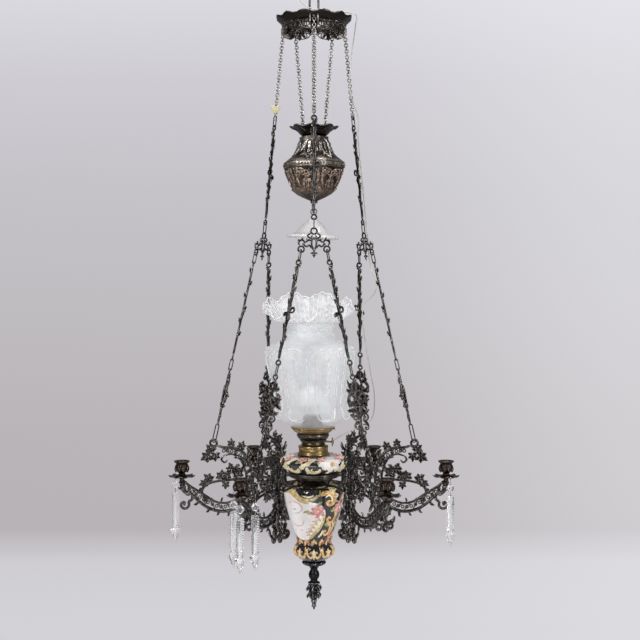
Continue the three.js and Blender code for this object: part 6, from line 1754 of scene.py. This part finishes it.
def vase_sheet():
    """Half of the vase's decoration: a white panel, its frame of scrolls, flowers and leaves."""
    fields, creams, oranges, olives, pinks, hearts, greens, blushes = (Casting(swell=1.4) for k in range(8))
    fields.add(patch([(-80, -1062), (-58, -1056), (-43, -1060), (-26, -1070), (-8, -1077), (10, -1082),
                      (21, -1096), (23, -1116), (17, -1135), (6, -1148), (-8, -1159), (-30, -1164),
                      (-58, -1158), (-82, -1138), (-92, -1108), (-90, -1080)], 0.7))
    olives.stroke([(-70, -1058), (-54, -1053), (-40, -1057), (-28, -1069), (-14, -1074), (2, -1070),
                   (6, -1062)], [3, 6, 7, 7, 6, 4.4, 3], 2.6, lift=0.6)
    oranges.stroke([(-66, -1063), (-50, -1060), (-38, -1066), (-24, -1077), (-8, -1081)], [2, 3.4, 4, 3.6, 2],
                   2.8, lift=0.6)
    creams.stroke([(-22, -1064), (-10, -1067), (0, -1063)], [1.6, 3, 1.6], 3.4, lift=0.9)
    olives.stroke([(21, -1104), (19, -1122), (9, -1139), (-3, -1151), (-14, -1160)], [3, 5, 5.4, 5, 3], 2.6,
                  lift=0.6)
    creams.stroke([(17, -1108), (15, -1122), (6, -1136), (-6, -1148)], [1.4, 2.4, 2.4, 1.4], 3.0, lift=0.8)
    for k in range(5):
        x, y = 15 - k * 5.4, -1120 - k * 8.4
        olives.leaf([(x, y), (x - 7, y + 4), (x - 13, y + 1)], 5.5, 2, 1.8, 0, 0.6)
        pinks.leaf([(x - 3, y + 6), (x - 9, y + 9), (x - 14, y + 8)], 3.6, 2, 1.6, 0, 0.6)
    oranges.c_scroll(26, -1074, 17, 150, -1, 6.4)
    oranges.c_scroll(37, -1112, 15, 80, -1, 5.4)
    oranges.c_scroll(30, -1140, 14, 100, -1, 5.0)
    creams.c_scroll(46, -1062, 13, 20, 1, 5.0)
    creams.stroke([(20, -1068), (27, -1064), (33, -1070), (33, -1080)], [1.6, 2.8, 2.8, 1.6], 3.6, lift=0.9)
    olives.c_scroll(60, -1118, 13, 100, 1, 5.0)
    oranges.c_scroll(56, -1146, 13, 80, 1, 4.6)
    creams.leaf([(44, -1124), (50, -1134), (48, -1146)], 7, 3, 2.2, 0, 0.5)
    creams.leaf([(10, -1156), (18, -1150), (22, -1140)], 7, 3, 2.2, 0, 0.5)
    for x, y, radius in ((7, -1097, 12.5), (54, -1093, 12.5), (44, -1158, 6), (66, -1074, 7)):
        pinks.rosette(x, y, radius, 6, 2.6, 0.8, 0.35)
        pinks.rosette(x, y, radius * 0.6, 5, 2.6, 1.6, 0.35, 120)
        hearts.bead(x, y, radius * 0.2, 3.2, 1.0)
        for k in range(3):
            t = math.radians(70 + k * 120)
            greens.leaf([aim(x, y, radius * 0.8, t), aim(x, y, radius * 1.3, t + 0.2),
                         aim(x, y, radius * 1.7, t)], radius * 0.6, 2, 1.8, 0, 0.4)
    for x, y, toward in ((-8, -1098, 180), (8, -1066, 60), (36, -1094, 20), (24, -1124, -60),
                         (42, -1076, -40), (60, -1132, -90)):
        t = math.radians(toward)
        greens.leaf([(x, y), aim(x, y, 6, t), aim(x, y, 13, t + 0.3)], 6, 2, 1.8, 0, 0.8)
    for points in ([(-52, -1084), (-40, -1078), (-28, -1082), (-22, -1092), (-30, -1102), (-42, -1104)],
                   [(-60, -1118), (-50, -1128), (-38, -1132), (-26, -1128), (-20, -1116)],
                   [(-44, -1096), (-34, -1094)], [(-66, -1092), (-64, -1106)], [(-36, -1140), (-26, -1142)]):
        blushes.stroke(points, [0.8, 2.2, 2.6, 2.0, 0.8], 0.9, lift=0.8)
    return {"white": fields, "cream": creams, "orange": oranges, "olive": olives, "pink": pinks,
            "hearts": hearts, "green": greens, "blush": blushes}


panel_drawings = vase_sheet()
print("glazes in a panel:", len(panel_drawings))

# %% The vase's foot
def foot_sheet():
    """Eight pairs of orange scrolls round the small bulb, and a leafy belt at the waist."""
    oranges, creams, pinks = Casting(), Casting(), Casting()
    width = 2 * math.pi * FOOT_REFERENCE / 8
    for k in range(8):
        x = k * width
        for s in (-1, 1):
            oranges.stroke([(x + s * 18, -1177), (x + s * 21, -1189), (x + s * 13, -1200), (x + s * 4, -1196),
                            (x + s * 5, -1188), (x + s * 11, -1188)], [4, 6.5, 6.5, 5.5, 4.5, 3.5], 2.6,
                           lift=0.4)
        creams.leaf([(x, -1181), (x, -1191), (x, -1206)], 9, 2, 2.2, 0, 0.4)
        creams.bead(x + width / 2, -1183, 3, 0.4, 1.6)
    for k in range(14):
        x = k * 2 * math.pi * FOOT_REFERENCE / 14
        oranges.leaf([(x - 9, -1175), (x, -1165), (x + 11, -1171)], 11, 3, 3, 0, 0.5)
        if k % 2:
            pinks.leaf([(x + 2, -1173), (x + 8, -1165), (x + 13, -1163)], 6, 2, 2.4, 0, 0.9)
    return {"orange": oranges, "cream": creams, "pink": pinks}


foot_drawings = foot_sheet()
print("glazes on the foot:", len(foot_drawings))

# %% Glazes laid on the vase
GLAZES = {"white": white, "cream": cream, "orange": orange, "olive": olive, "pink": pink, "hearts": cream,
          "green": green, "blush": blush}
halves = [ware_surface(vase_profile, PANEL_REFERENCE, centre) for centre in (0, 180)]
for colour, part in panel_drawings.items():
    relief("vase", part, colour, *halves)
for colour, part in foot_drawings.items():
    relief("vase_foot", part, colour, ware_surface(vase_profile, FOOT_REFERENCE))
print("reliefs on the vase:", len(panel_drawings) + len(foot_drawings))

# %% [markdown]
# The font above the holder carries the same kind of decoration, larger and looser: cream leaves and scrolls
# near its rim, pink blossoms on the shoulder and three wide white blooms. Its dark holder is turned metal
# with bright rolled edges.

# %% The font and its holder
FONT_PROFILE = lifted([(50, -1030.6), (55, -1027), (62, -1021), (67.5, -1013), (69.8, -1005), (69, -999),
                       (64, -993), (55, -989), (45, -987.2), (36, -986.8)])
font_profile = smooth_profile(FONT_PROFILE)
Mesh().add(turned(font_profile, 96)).object("font_ground", black, "lamp", ["font"], "glaze")


def font_surface():
    """The drawing's height runs along the profile, so that the flat shoulder has room too."""
    line = np.array(font_profile)
    steps = np.concatenate([[0], np.cumsum(np.linalg.norm(np.diff(line, axis=0), axis=1))])
    way = directions(line)

    def move(p):
        s = p[:, 1]
        radius, height = np.interp(s, steps, line[:, 0]), np.interp(s, steps, line[:, 1])
        out_r, out_z = np.interp(s, steps, way[:, 1]), -np.interp(s, steps, way[:, 0])
        angle = math.radians(270) + p[:, 0] / FONT_REFERENCE
        return around(radius + out_r * p[:, 2], angle, height + out_z * p[:, 2])
    return move


def font_sheet():
    creams, pinks, hearts, greens, whites, oranges = (Casting(swell=1.5) for k in range(6))
    for k in range(9):
        x = k * 2 * math.pi * FONT_REFERENCE / 9
        creams.leaf([(x + 17, 22), (x + 22, 30), (x + 32, 36)], 12, 3, 2.4, 0, 0.4)
        creams.leaf([(x - 14, 30), (x - 8, 40), (x + 2, 44)], 10, 3, 2.4, 0, 0.4)
        if k % 3 == 1:
            creams.leaf([(x - 4, 12), (x - 7, 20), (x - 2, 28)], 11, 2, 2.4, 0, 0.4)
            creams.leaf([(x + 4, 12), (x + 7, 20), (x + 2, 28)], 11, 2, 2.4, 0, 0.4)
        else:
            creams.stroke([(x - 14, 28), (x - 12, 17), (x - 2, 11), (x + 9, 15), (x + 12, 24)],
                          [3, 7, 8, 7, 3], 2.4, lift=0.3)
            oranges.stroke([(x - 9, 22), (x - 5, 17), (x + 3, 16)], [1.5, 3, 1.5], 3.2, lift=0.6)
        pinks.rosette(x + 18, 48, 11, 6, 2.6, 0.5)
        hearts.bead(x + 18, 48, 2.4, 2, 1)
        greens.leaf([(x + 6, 34), (x + 12, 38), (x + 22, 36)], 7, 2, 2, 0, 0.4)
        greens.leaf([(x - 6, 42), (x - 12, 40), (x - 17, 34)], 6, 2, 2, 0, 0.4)
    for k in range(9):
        x = k * 2 * math.pi * FONT_REFERENCE / 9
        whites.leaf([(x + 30, 44), (x + 40, 50), (x + 50, 46)], 12, 2, 2.2, 0, 0.5)
        creams.leaf([(x + 26, 8), (x + 34, 14), (x + 40, 24)], 8, 2, 2.2, 0, 0.4)
    for x in (34, -96, 164):
        for t, reach in ((20, 27), (60, 24), (110, 26), (165, 25), (215, 20), (260, 17), (320, 22)):
            a = math.radians(t)
            whites.leaf([(x, 32), (x + reach * 0.6 * math.cos(a), 32 + reach * 0.45 * math.sin(a)),
                         (x + reach * math.cos(a + 0.3), 32 + reach * 0.7 * math.sin(a + 0.3))], 19, 2, 2.8,
                        0, 0.8)
        whites.leaf([(x - 16, 52), (x + 6, 57), (x + 30, 52)], 19, 3, 2.6, 0, 0.6)
        creams.leaf([(x + 14, 26), (x + 24, 18), (x + 36, 20)], 13, 3, 2.4, 0, 0.9)
        oranges.rosette(x + 2, 33, 5, 6, 2.4, 2.2)
    return {"cream": creams, "pink": pinks, "hearts": hearts, "green": greens, "white": whites,
            "orange": oranges}


for colour, part in font_sheet().items():
    relief("font", part, colour, font_surface())

holder = lifted([(23, -1060.8), (26, -1060.6), (28, -1058), (31, -1052), (38, -1046), (47, -1041.4),
                 (53, -1038.6), (56, -1037), (57, -1034.6), (56.4, -1032.4), (54, -1031.4), (23, -1031.4)])
Mesh().add(turned(holder, 96)).object("font_holder_bowl", finial_bronze, "lamp", ["font_holder"], "bronze")
rim = Mesh()
for radius, height in lifted([(56.4, -1036.6), (55.4, -1032.6), (50.4, -1040.6)]):
    rim.add(tube(around(radius, full_turn(96), height), 1.3, 8, closed=True))
rim.object("font_holder_rings", bright_bronze, "lamp", slot="bronze")
print("font made")

# %% [markdown]
# The finial closes the column: a lobed flange, a neck with a round knob, and a long openwork drop of leaves
# that ends in a bud. The drop is drawn flat once and set three times around the axis, so that it has body.
# The whole finial sits a little higher than its solid, with the vase's foot.

# %% The finial
def flange_shape(angle, radius, height):
    """Eight lobes on the wide part of the flange."""
    share = np.clip((radius - 12) / 12, 0, 1)
    return radius * (1 - 0.14 * share * (1 - np.abs(np.cos(angle * 4)))), height


FINIAL_RISE, DROP_WIDENED = 8.4, 1.2
flange = turned([(9, -1222), (22, -1222), (25.6, -1223.4), (26, -1226), (24, -1229.4), (17, -1231),
                 (11.5, -1234), (8.4, -1238), (7.4, -1241), (8.6, -1243), (10.8, -1247), (11.8, -1252),
                 (11.2, -1257), (8.6, -1261.4), (7, -1264), (8.6, -1266), (13, -1268.4), (13, -1270.6),
                 (8, -1272), (0.01, -1272.4)], 72, flange_shape)
drop = Casting(swell=1.3)
for s in (-1, 1):
    drop.stroke([(0, -1270), (s * 7, -1276), (s * 9, -1284), (s * 4.6, -1291), (s * 7, -1298), (s * 3, -1306),
                 (0, -1312)], [3.4, 4, 3.4, 2.8, 3.6, 3, 2.4], 4.4)
    drop.leaf([(s * 6, -1277), (s * 12, -1279), (s * 13, -1287)], 7, 2, 4, 0.1)
    drop.leaf([(s * 5, -1292), (s * 11, -1294), (s * 12, -1302)], 7, 2, 4, 0.1)
    drop.volute(s * 5, -1283, 3.4, 90, 0.9, 2, hand=s)
drop.leaf([(0, -1300), (0, -1312), (0, -1326)], 12, 2, 7, 0)
drop.stroke([(0, -1270), (0, -1300)], 2.6, 3)
made = Mesh().add(flange, turn(0, 0, FINIAL_RISE))
for azimuth in (20, 80, 140):
    made.add(whole(drop), lambda p: turn(azimuth, 0, FINIAL_RISE)(p[:, [0, 2, 1]] * (DROP_WIDENED, 1, 1)))
made.object("finial_casting", finial_bronze, "lamp", ["finial"], "bronze")
dress(dark_steel, "tie_rod")
dress(holder_plastic.material, "cord_connector")
print("finial made")
